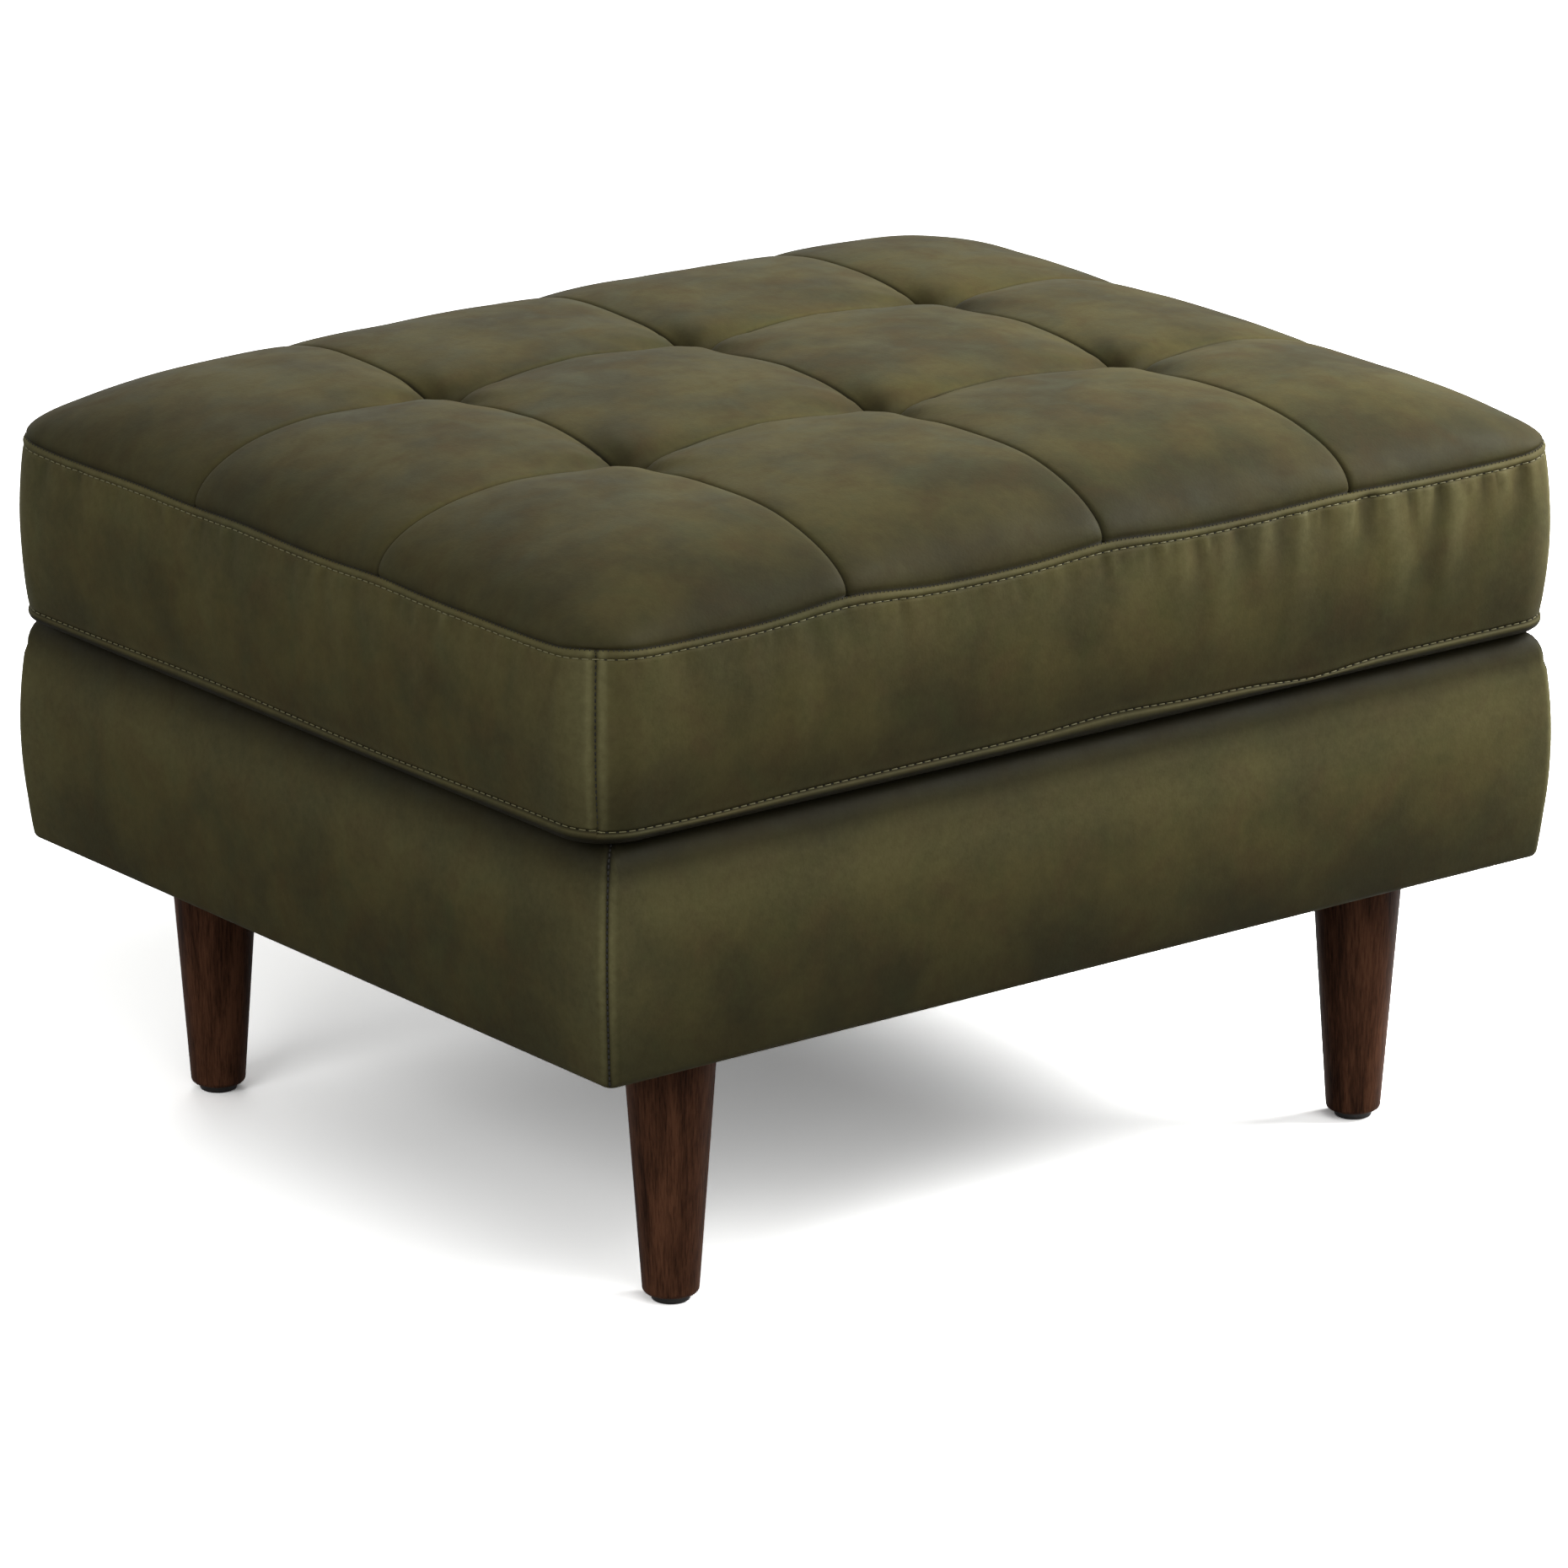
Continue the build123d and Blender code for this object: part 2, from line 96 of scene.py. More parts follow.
class OttomanColours(bpy.types.PropertyGroup):
    olive: colour("Olive", "Waxed olive leather where it is neither rubbed nor creased", "#5c5533")
    deep: colour("Deep olive", "Darker patches where the wax lies thick", "#48432a")
    tan: colour("Tan", "Brown patches where the hide shows through the dye", "#56472f")
    moss: colour("Moss", "Greener patches of the dye", "#494c2b")
    # wear and painted light: this colour marks rubbed edges and also paints highlights on fold
    # crests, the upper sides and the left corners
    worn_and_painted_light: colour("Rubbed edge", "Leather pulled or rubbed light at seams and corners", "#827d56")
    # dark seams and painted shade: this colour draws the seam lines and also paints shade in tufts,
    # folds, the slot, the gaps and towards the rim and foot
    seams_and_painted_shade: colour("Crease", "Leather in seams and tufts", "#17150c")
    thread: colour("Thread", "Olive upholstery thread of the topstitching", "#7c7752")
    # painted highlight: lighter strands mottled into the thread
    thread_painted_highlight: colour("Thread light", "Lit strands of the same thread", "#948e66")
    walnut: colour("Walnut", "Stained wood of the legs", "#724b36")
    grain: colour("Grain", "Dark lines of the wood grain", "#2b1810")
    floor: colour("Floor", "Studio floor", "#f2f2f1")


class OttomanSizes(bpy.types.PropertyGroup):
    crown: size("Crown", "Rise of the cushion's top over its seam", 45)
    edge_run: size("Edge run", "How far in from the seam the top reaches its full rise", 100)
    tuft_depth: size("Tuft depth", "How far a tuft draws the top down", 34)
    seam_depth: size("Seam depth", "Depth of the creases along the panel seams", 1.9)
    spacing: size("Mesh spacing", "Distance between the lines of the cushion's mesh", 3.5)
    grain: size("Leather grain", "Size of one pebble of the leather's grain", 1.6)
    stitch: size("Stitch", "Length of one topstitch", 4.2)
    pitch: size("Stitch pitch", "Distance from one topstitch to the next", 6.0)


def sizes():
    return bpy.context.scene.ottoman_sizes


def colours():
    return bpy.context.scene.ottoman_colours


# Lines of the seams on the covers, for the stitches: name and a list of places with the way out
seam_lines = {}
# How far each point of the coarse cushion cover moves as the cover fills, and the spacing of its
# lines in millimetres
filled = []
coarse = 11.0
# Top of the foam core in metres, which the tufts are drawn down to
core_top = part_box("foam_core")[1].z


# Tools for shaping pieces and materials


def deselect():
    bpy.ops.object.select_all(action="DESELECT")


def only(obj):
    """Make this the one selected and active object."""
    deselect()
    obj.select_set(True)
    bpy.context.view_layer.objects.active = obj
    return obj


def apply_all(obj):
    """Apply every modifier of the object in order."""
    only(obj)
    for name in [m.name for m in obj.modifiers]:
        bpy.ops.object.modifier_apply(modifier=name)
    return obj


def settle(obj):
    """Put the object's place, turn and scale in its mesh."""
    only(obj)
    bpy.ops.object.transform_apply(location=True, rotation=True, scale=True)
    return obj


def thicken(obj, millimetres, offset=-1):
    """Give a sheet its thickness, inwards unless the offset says otherwise."""
    wall = obj.modifiers.new("wall", "SOLIDIFY")
    wall.thickness = millimetres * MM
    wall.offset = offset
    return obj


def bevel_edges(obj, millimetres, segments, chosen=None):
    """Bevel the edges that a test chooses, or all of them."""
    bpy.ops.object.mode_set(mode="EDIT")
    bpy.ops.mesh.select_all(action="DESELECT" if chosen else "SELECT")
    if chosen:
        for edge in bmesh.from_edit_mesh(obj.data).edges:
            edge.select_set(chosen(edge))
    bpy.ops.mesh.bevel(offset=millimetres * MM, segments=segments)
    bpy.ops.object.mode_set(mode="OBJECT")


def mesh_piece(name, points, faces):
    """Object of a mesh with these points, in millimetres, and faces."""
    mesh = bpy.data.meshes.new(name)
    mesh.from_pydata([[c * MM for c in p] for p in points], [], faces)
    mesh.validate()
    mesh.update()
    obj = bpy.data.objects.new(name, mesh)
    bpy.context.scene.collection.objects.link(obj)
    return obj


def add(tree, kind, links=None, stops=(), **settings):
    """Add a node with its settings, the stops of its ramp and its links. A link's value is a
    constant, an output, or another node, which stands for its first output."""
    made = tree.nodes.new(kind)
    for name, value in settings.items():
        setattr(made, name, value)
    for n, (position, tone) in enumerate(stops):
        made.color_ramp.elements[n].position = position
        made.color_ramp.elements[n].color = tone
    for key, value in (links or {}).items():
        if isinstance(value, bpy.types.Node):
            value = value.outputs[0]
        if isinstance(value, bpy.types.NodeSocket):
            tree.links.new(value, made.inputs[key])
        else:
            made.inputs[key].default_value = value
    return made


def new_material(name):
    material = bpy.data.materials.new(name)
    material.use_nodes = True
    material.node_tree.nodes.clear()
    return material


def finish_material(material, shader):
    add(material.node_tree, "ShaderNodeOutputMaterial", {"Surface": shader})
    return material


def dress(obj, material, sharp=None):
    """Give the piece its material and smooth shading, with edges over so many degrees sharp."""
    only(obj)
    if sharp:
        bpy.ops.object.shade_smooth_by_angle(angle=math.radians(sharp))
    else:
        bpy.ops.object.shade_smooth()
    paint(obj, bpy.data.materials[material])


def paint(obj, material):
    """Give the piece its material and leave its shading."""
    obj.data.materials.clear()
    obj.data.materials.append(material)


def keep_shares(mesh, wear_and_painted_light, seams_and_painted_shade):
    """Keep how much wear and painted light, and how much dark seam and painted shade, each point
    has, for the leather's material.
    """
    for name, values in (("wear_and_painted_light", wear_and_painted_light), ("seams_and_painted_shade", seams_and_painted_shade)):
        layer = mesh.attributes.new(name, "FLOAT", "POINT")
        layer.data.foreach_set("value", values)
    mesh.update()


# Materials


def waxed_leather():
    """Pull-up leather, drum dyed and waxed: mottled, lighter where stretched, with painted light
    and shade from the mesh and a soft sheen.
    """
    c = colours()
    material = new_material("waxed_pull_up_leather")
    tree = material.node_tree
    place = add(tree, "ShaderNodeTexCoord").outputs["Object"]
    # clouds of about 60 mm where the dye took unevenly
    clouds = add(
        tree,
        "ShaderNodeTexNoise",
        {"Vector": place, "Scale": 16.0, "Detail": 4.0, "Roughness": 0.55},
    )
    dyed = add(tree, "ShaderNodeValToRGB", {"Fac": clouds}, stops=((0.37, c.deep), (0.61, c.olive)))
    # brown patches of about 30 mm and green ones of about 25 mm
    patches = add(
        tree,
        "ShaderNodeTexNoise",
        {"Vector": place, "Scale": 33.0, "Detail": 4.0, "Roughness": 0.6, "Distortion": 0.5},
    )
    mixed = dyed.outputs[0]
    for tone, low, high, most in ((c.tan, 0.5, 0.72, 0.5), (c.moss, 0.46, 0.3, 0.38)):
        share = add(
            tree,
            "ShaderNodeMapRange",
            {"Value": patches, "From Min": low, "From Max": high, "To Max": most},
        )
        patched = add(tree, "ShaderNodeMix", {0: share, 6: mixed, 7: tone}, data_type="RGBA")
        mixed = patched.outputs[2]
    # flecks of about 5 mm in the wax
    flecks = add(
        tree,
        "ShaderNodeTexNoise",
        {"Vector": place, "Scale": 190.0, "Detail": 4.0, "Roughness": 0.7},
    )
    fleck = add(
        tree,
        "ShaderNodeMapRange",
        {"Value": flecks, "From Min": 0.3, "From Max": 0.7, "To Min": 0.92, "To Max": 1.07},
    )
    flecked = add(
        tree,
        "ShaderNodeMix",
        {0: 1.0, 6: mixed, 7: fleck},
        data_type="RGBA",
        blend_type="MULTIPLY",
    )
    # the rubbed wear and painted light, and the dark seams and painted shade, come from the mesh
    wear_and_painted_light = add(tree, "ShaderNodeAttribute", attribute_name="wear_and_painted_light").outputs["Fac"]
    uneven = add(
        tree,
        "ShaderNodeMapRange",
        {"Value": flecks, "From Min": 0.3, "From Max": 0.65, "To Min": 0.6, "To Max": 1.0},
    )
    uneven_wear_and_light = add(
        tree, "ShaderNodeMath", {0: wear_and_painted_light, 1: uneven}, operation="MULTIPLY", use_clamp=True
    )
    worn_and_painted_light = add(
        tree, "ShaderNodeMix", {0: uneven_wear_and_light, 6: flecked.outputs[2], 7: c.worn_and_painted_light}, data_type="RGBA"
    )
    seams_and_painted_shade = add(tree, "ShaderNodeAttribute", attribute_name="seams_and_painted_shade").outputs["Fac"]
    dark_seams_and_shade = add(
        tree, "ShaderNodeMix", {0: seams_and_painted_shade, 6: worn_and_painted_light.outputs[2], 7: c.seams_and_painted_shade}, data_type="RGBA"
    )
    # pebbled grain; the real pebbles are half as large and wouldn't show
    pebble = add(
        tree,
        "ShaderNodeTexVoronoi",
        {"Vector": place, "Scale": 1 / sizes().grain},
        feature="SMOOTH_F1",
    )
    fine = add(
        tree,
        "ShaderNodeTexNoise",
        {"Vector": place, "Scale": 110.0, "Detail": 6.0, "Roughness": 0.6, "Distortion": 1.0},
    )
    height = add(tree, "ShaderNodeMix", {0: 0.6, 2: pebble, 3: fine})
    bump = add(tree, "ShaderNodeBump", {"Strength": 0.14, "Distance": 0.001, "Height": height})
    # the patches differ in gloss too
    gloss = add(
        tree,
        "ShaderNodeMapRange",
        {"Value": patches, "From Min": 0.3, "From Max": 0.7, "To Min": 0.54, "To Max": 0.68},
    )
    shader = add(
        tree,
        "ShaderNodeBsdfPrincipled",
        {
            "Base Color": dark_seams_and_shade.outputs[2],
            "Roughness": gloss,
            "Normal": bump,
            "IOR": 1.5,
            "Specular IOR Level": 0.08,
        },
    )
    return finish_material(material, shader)


def lacquered_walnut():
    """Walnut, stained dark and sprayed with satin lacquer: long dark pores and a soft shine."""
    c = colours()
    material = new_material("lacquered_walnut")
    tree = material.node_tree
    place = add(tree, "ShaderNodeTexCoord").outputs["Object"]
    # figure about 14 mm wide and 140 mm long, pores about 1.2 mm wide and 30 mm long
    figure_place = add(tree, "ShaderNodeMapping", {"Vector": place, "Scale": (70.0, 70.0, 7.0)})
    figure = add(
        tree,
        "ShaderNodeTexNoise",
        {"Vector": figure_place, "Scale": 1.0, "Detail": 4.0, "Distortion": 0.8},
    )
    pore_place = add(tree, "ShaderNodeMapping", {"Vector": place, "Scale": (820.0, 820.0, 30.0)})
    pores = add(
        tree,
        "ShaderNodeTexNoise",
        {"Vector": pore_place, "Scale": 1.0, "Detail": 3.0, "Roughness": 0.7},
    )
    streaks = add(tree, "ShaderNodeMath", {0: figure, 1: pores}, operation="MULTIPLY")
    ramp = add(
        tree, "ShaderNodeValToRGB", {"Fac": streaks}, stops=((0.12, c.grain), (0.36, c.walnut))
    )
    bump = add(tree, "ShaderNodeBump", {"Strength": 0.12, "Distance": 0.0004, "Height": pores})
    shader = add(
        tree,
        "ShaderNodeBsdfPrincipled",
        {"Base Color": ramp, "Roughness": 0.42, "Normal": bump, "Specular IOR Level": 0.05},
    )
    return finish_material(material, shader)


def plain_finish(
    name, low, high, grain, roughness, bump=0.1, metallic=0.0, stretch=(1, 1, 1), kind="noise"
):
    """Material of two close colours, mottled at the size of its grain in metres."""
    low, high = (linear(c) if isinstance(c, str) else c for c in (low, high))
    material = new_material(name)
    tree = material.node_tree
    place = add(tree, "ShaderNodeTexCoord").outputs["Object"]
    scale = tuple(s / grain for s in stretch)
    mapped = add(tree, "ShaderNodeMapping", {"Vector": place, "Scale": scale})
    if kind == "cells":
        # the open cells of foam
        pattern = add(tree, "ShaderNodeTexVoronoi", {"Vector": mapped, "Scale": 1.0}, feature="F1")
    elif kind == "weave":
        # threads that cross each other, one wave to a thread
        parts = add(tree, "ShaderNodeSeparateXYZ", {0: mapped})
        waves = []
        for axis in "XYZ":
            along = {0: parts.outputs[axis], 1: math.tau}
            angle = add(tree, "ShaderNodeMath", along, operation="MULTIPLY")
            waves.append(add(tree, "ShaderNodeMath", {0: angle}, operation="SINE"))
        crossed = add(tree, "ShaderNodeMath", {0: waves[0], 1: waves[1]}, operation="MULTIPLY")
        lifted = add(tree, "ShaderNodeMath", {0: crossed, 1: waves[2]}, operation="ADD")
        pattern = add(
            tree, "ShaderNodeMapRange", {"Value": lifted, "From Min": -1.5, "From Max": 1.5}
        )
    else:
        pattern = add(tree, "ShaderNodeTexNoise", {"Vector": mapped, "Scale": 1.0, "Detail": 4.0})
    ramp = add(tree, "ShaderNodeValToRGB", {"Fac": pattern}, stops=((0.25, low), (0.75, high)))
    raised = add(
        tree, "ShaderNodeBump", {"Strength": bump, "Distance": grain * 0.3, "Height": pattern}
    )
    shader = add(
        tree,
        "ShaderNodeBsdfPrincipled",
        {"Base Color": ramp, "Roughness": roughness, "Metallic": metallic, "Normal": raised},
    )
    return finish_material(material, shader)


# The cushion's cover

low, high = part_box("tufted_top")
half_x = high.x / MM
half_y = high.y / MM
seam_z = low.z / MM
under_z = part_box("bottom_cover")[0].z / MM
lower_seam_z = 315.0
corner = 32.0
seams_x = [-181.0, 6.0, 193.0]
seams_y = [-88.0, 97.0]
tufts = [(x, y) for x in seams_x for y in seams_y]
zip_z = 368.15
slot_half_x = 304.0
slot_half_z = 6.0
slot_floor_y = 292.5
# the line of topstitching below the top seam
topstitch_drop = 5.7
# how much the top falls to the right, per millimetre, and towards its ends and sides, as shares
tilt = 0.0085
end_fall, side_fall = 0.22, 0.13
# how far each panel swells between its seams
panel_dome = 2.6
# a tuft's narrow pit and its longer pull along the seams: share of its depth and reach of each
pit_share, pit_reach = 0.66, 11.0
pull_share, pull_reach = 0.4, 44.0
# the boxing's bulge, and the raised band between its top seam and the topstitching
boxing_bulge = 5.0
band_rise, band_drop = 0.9, 2.9
# the roll under the lower seam: depth below the seam and how far out, down to the flat underside
roll = [(1.4, 0.9), (2.9, 1.1), (4.4, 0.8), (5.9, 0.0), (7.1, -1.7), (7.8, -4.2)]
roll += [(7.6, -8.2), (6.6, -13.5), (5.7, -20.0)]


def lines(half, seams, spacing, extra=()):
    """Places of the mesh lines across the top: close together at the rim and at each seam."""
    run = sizes().edge_run / MM
    steps = round(run * 1.25 / spacing)
    rim = [half - run * (1 - math.cos(math.pi / 2 * k / steps)) for k in range(steps)]
    inner = rim[-1]
    marks = sorted(seams)
    beside = (0.7, 1.6, 3.2, 5.4) if spacing < 6 else (5.4,)
    keep = {round(s + d * way, 3) for s in marks for d in (0,) + beside for way in (-1, 1)}
    edges = [-inner] + marks + [inner]
    for a, b in zip(edges[:-1], edges[1:]):
        a = a + (5.4 if a in marks else 0)
        b = b - (5.4 if b in marks else 0)
        count = max(1, round((b - a) / spacing))
        keep |= {round(a + (b - a) * k / count, 3) for k in range(count + 1)}
    keep |= {round(s * r, 3) for r in rim for s in (-1, 1)}
    keep = sorted(v for v in keep if not any(0 < abs(v - e) < 1.2 for e in extra))
    return sorted(set(keep) | set(extra))


def plan(u, v):
    """Point of the rounded plan for a place on the square one."""
    flat_x = half_x - corner
    flat_y = half_y - corner
    p = max(abs(u) - flat_x, 0) / corner
    q = max(abs(v) - flat_y, 0) / corner
    if p == 0 or q == 0:
        return u, v
    x = flat_x + corner * p * math.sqrt(1 - q * q / 2)
    y = flat_y + corner * q * math.sqrt(1 - p * p / 2)
    return math.copysign(x, u), math.copysign(y, v)


def bell(distance, width):
    return math.exp(-((distance / width) ** 2))


def to_tuft(u, v):
    """Distance to the nearest tuft."""
    return min(math.hypot(u - x, v - y) for x, y in tufts)


def rounded(distance):
    """Share of the full rise at a distance in from the rim: a quarter of an ellipse."""
    run = sizes().edge_run / MM
    if distance >= run:
        return 1.0
    return math.sqrt(max(0.0, 1 - (1 - distance / run) ** 2))


def rim_share(u, v):
    """Share of the full rise at a place of the top."""
    return rounded(half_x - abs(u)) * rounded(half_y - abs(v))


def seam_wave(side, along):
    """How far the top seam stands above or below its level."""
    ends = 2.8 * bell(abs(along) - (half_x if side in ("front", "back") else half_y), 32)
    # where a panel seam pulls the top seam up: how far, its place and width
    if side == "front":
        rises = ((5.2, -180, 42), (4.0, 8, 42), (1.6, 185, 42))
    elif side == "back":
        rises = ((3.6, -184, 40), (4.2, 4, 44), (3.0, 196, 40))
    else:
        rises = ((1.6, -92, 34), (1.6, 50, 40), (1.2, 150, 50))
    pulls = sum(height * bell(along - place, width) for height, place, width in rises)
    return ends + pulls - 2.1


def under_wave(side, along):
    """How far the bottom seam stands above or below its level."""
    if side == "front":
        rises = ((2.8, 15, 45), (-3.6, 166, 36), (-1.4, -284, 50))
        return sum(height * bell(along - place, width) for height, place, width in rises)
    return 0.9 * math.sin(along / 52 + (1 if side == "back" else 0))


def side_of(u, v):
    """Side of the rim nearest to a place on the square plan, and how far along and in it is."""
    dx = half_x - abs(u)
    dy = half_y - abs(v)
    if dx < dy:
        return ("right" if u > 0 else "left"), v, dx
    return ("back" if v > 0 else "front"), u, dy


def top_height(u, v):
    """Height of the top over the seam's level, without its creases."""
    edge = rim_share(u, v)
    crown = sizes().crown / MM - tilt * u
    crown *= (1 - end_fall * (u / half_x) ** 2) * (1 - side_fall * (v / half_y) ** 2)
    fullness = 1.0
    for place, half, seams in ((u, half_x, seams_x), (v, half_y, seams_y)):
        edges = [-half] + seams + [half]
        for a, b in zip(edges[:-1], edges[1:]):
            if a <= place <= b:
                t = 2 * (place - a) / (b - a) - 1
                if a == -half and t < 0 or b == half and t > 0:
                    t = 0
                fullness *= 1 - abs(t) ** 4
    height = edge * (crown + panel_dome * fullness)
    pull = 0.0
    for x, y in tufts:
        reach = math.hypot(u - x, v - y)
        if reach < 260:
            turn = math.atan2(v - y, u - x)
            pit = pit_share * math.exp(-math.hypot(reach, 1.5) / pit_reach)
            # the longer pull is strongest along the four seams and weak between them
            along_seams = 0.3 + 0.7 * math.cos(2 * turn) ** 4
            seam_pull = pull_share * along_seams * math.exp(-reach / pull_reach)
            pull = max(pull, sizes().tuft_depth / MM * (pit + seam_pull))
    side, along, inward = side_of(u, v)
    wave = seam_wave(side, along) * math.exp(-inward / 12)
    return height - pull + wave


def boxing_profile(depth):
    """How far the boxing stands out at a depth below the top seam."""
    full = under_depth()
    bulge = boxing_bulge * math.sin(math.pi * min(max(depth / full, 0), 1)) ** 0.8
    band = band_rise * bell(depth - band_drop, 2.0)
    return bulge + band


def under_depth():
    """Height of the boxing from seam to seam."""
    return seam_z - lower_seam_z


def rows(spacing):
    """Depths of the boxing's rows below the top seam."""
    full = under_depth()
    near_top = [0.7, 1.5, 2.4, 3.4, 4.4, 5.1, topstitch_drop, 6.3, 7.1, 8.4, 10.4]
    slot_top = seam_z - zip_z - slot_half_z
    slot = [slot_top - 3.6, slot_top - 1.6, slot_top - 0.5, slot_top, slot_top + 0.3]
    slot += [slot_top + 2 * slot_half_z - v for v in (0.3, 0, -0.5, -1.6, -3.6)]
    near_foot = [full - v for v in (9, 7.2, 6, 5.2, 4.4, 3.2, 2.0, 1.2, 0.6, 0)]
    if spacing > 6:
        # the coarse cover keeps the seams, the topstitching and the ends of the slot
        near_top = near_top[::5] + near_top[6:7]
        slot = slot[:4:3] + slot[6::3]
        near_foot = near_foot[::3]
    between = []
    middle = len(slot) // 2
    gaps = [(max(near_top), slot[0]), (slot[middle - 1], slot[middle]), (slot[-1], near_foot[0])]
    for a, b in gaps:
        count = round((b - a) / (spacing + 0.3))
        between += [a + (b - a) * k / count for k in range(1, count)]
    return sorted(near_top + slot + near_foot + between)


def puckers(side):
    """Folds of the boxing: place along, top, length, width, slant and depth of each."""
    dice = random.Random({"front": 5, "right": 11, "back": 17, "left": 23}[side])
    half = half_x if side in ("front", "back") else half_y
    found = []
    # short fine gathers at the topstitching, then broad folds that run down towards the foot
    for gap, length, width, amount, grown in (
        ((9, 21), (14, 42), (3.6, 7.0), 0.34, 0.35),
        ((20, 44), (56, 104), (9.0, 17.0), 0.3, 1.2),
    ):
        place = -half + 22 + dice.uniform(0, 12)
        while place < half - 16:
            pulled = min(1, max(0, (place - 10) / 130)) if side == "front" else 0.12
            found.append(
                (
                    place,
                    dice.uniform(5.5, 9),
                    dice.uniform(*length),
                    dice.uniform(*width),
                    dice.uniform(-0.26, 0.26),
                    (amount + grown * pulled) * dice.uniform(0.5, 1.5),
                )
            )
            place += dice.uniform(*gap)
    return found


def pucker_depth(folds, along, depth):
    """Depth of the folds at a place on the boxing."""
    total = 0.0
    for place, start, length, width, slant, amount in folds:
        down = depth - start
        if -4 < down < length and abs(along - place) < 60:
            middle = place + slant * down
            share = max(down, 0) / length
            narrow = width * (0.45 + 0.75 * share)
            fade = (1 - share) ** 1.3 * min(1, (down + 4) / 5)
            off = (along - middle) / narrow
            # a fold with a low swell on both sides
            shape = math.exp(-off * off) - 0.45 * math.exp(-((abs(off) - 2) ** 2))
            total += amount * fade * shape
    return total


class Cover:
    """Points and faces of the cushion's cover, a note of what each point is, and its seam lines."""

    def __init__(self):
        self.points = []
        self.faces = []
        self.notes = []
        self.tracks = {}

    def point(self, place, **note):
        self.points.append(place)
        self.notes.append(note)
        return len(self.points) - 1


def cushion_form(spacing):
    """The cover before its creases: a grid for the top, rows of boxing round it, the underside."""
    ends = [way * slot_half_x + off for way in (-1, 1) for off in (-1.2, 0, 1.2)]
    across = lines(half_x, seams_x, spacing, ends)
    along = lines(half_y, seams_y, spacing)
    cover = Cover()
    grid = []
    for u in across:
        column = []
        for v in along:
            x, y = plan(u, v)
            column.append(cover.point((x, y, seam_z + top_height(u, v)), part="top", u=u, v=v))
        grid.append(column)
    for i in range(len(across) - 1):
        for j in range(len(along) - 1):
            cover.faces.append((grid[i][j], grid[i + 1][j], grid[i + 1][j + 1], grid[i][j + 1]))
    last_i = len(across) - 1
    last_j = len(along) - 1
    rim = [(i, 0, "front") for i in range(last_i)]
    rim += [(last_i, j, "right") for j in range(last_j)]
    rim += [(i, last_j, "back") for i in range(last_i, 0, -1)]
    rim += [(0, j, "left") for j in range(last_j, 0, -1)]
    levels = rows(spacing)
    full = under_depth()
    rings = []
    first = []
    for i, j, side in rim:
        note = cover.notes[grid[i][j]]
        u, v = note["u"], note["v"]
        x, y = plan(u, v)
        cx = max(-(half_x - corner), min(half_x - corner, x))
        cy = max(-(half_y - corner), min(half_y - corner, y))
        turned = abs(x - cx) >= 1e-6 and abs(y - cy) >= 1e-6
        if turned:
            reach = math.hypot(x - cx, y - cy)
            nx, ny = (x - cx) / reach, (y - cy) / reach
        else:
            nx, ny = {"front": (0, -1), "right": (1, 0), "back": (0, 1), "left": (-1, 0)}[side]
        place_along = u if side in ("front", "back") else v
        if turned:
            from_corner = corner * abs(math.atan2(abs(ny), abs(nx)) - math.pi / 4)
        else:
            flat = (half_x if side in ("front", "back") else half_y) - corner
            from_corner = corner * math.pi / 4 + max(0.0, flat - abs(place_along))
        column = []
        for depth in levels + [full + r[0] for r in roll]:
            top_fade = max(0.0, 1 - depth / 40) ** 2
            foot_fade = max(0.0, 1 - abs(full - depth) / 40) ** 2
            z = seam_z - depth + seam_wave(side, place_along) * top_fade
            below = 1 if depth <= full else max(0, 1 - (depth - full) / 5.6)
            z += under_wave(side, place_along) * foot_fade * below
            out = boxing_profile(depth) if depth <= full else 0
            lowest = under_z
            for step, shift in roll:
                if abs(depth - full - step) < 1e-6:
                    out = shift
                    lowest = under_z - (2.2 if shift > -15 else 0.0)
            column.append(
                cover.point(
                    (x + nx * out, y + ny * out, max(z, lowest)),
                    part="boxing",
                    side=side,
                    along=place_along,
                    depth=depth,
                    corner=from_corner,
                )
            )
        first.append(grid[i][j])
        rings.append(column)
    count = len(rim)
    for k in range(count):
        here, there = rings[k], rings[(k + 1) % count]
        cover.faces.append((first[(k + 1) % count], first[k], here[0], there[0]))
        for r in range(len(here) - 1):
            cover.faces.append((there[r], here[r], here[r + 1], there[r + 1]))
    cover.faces.append(tuple(column[-1] for column in reversed(rings)))
    tracks = {"topstitch": levels.index(topstitch_drop), "closing": 0, "lower": len(levels) - 1}
    for name, row in tracks.items():
        cover.tracks[name] = [column[row] for column in rings]
    for k, (i, j, side) in enumerate(rim):
        if i in (0, last_i) and j in (0, last_j):
            cover.tracks["corner_%d_%d" % (i > 0, j > 0)] = rings[k][: len(levels)]
    for n, s in enumerate(seams_x):
        cover.tracks["across_%d" % n] = grid[across.index(s)]
    for n, s in enumerate(seams_y):
        cover.tracks["along_%d" % n] = [column[along.index(s)] for column in grid]
    return cover


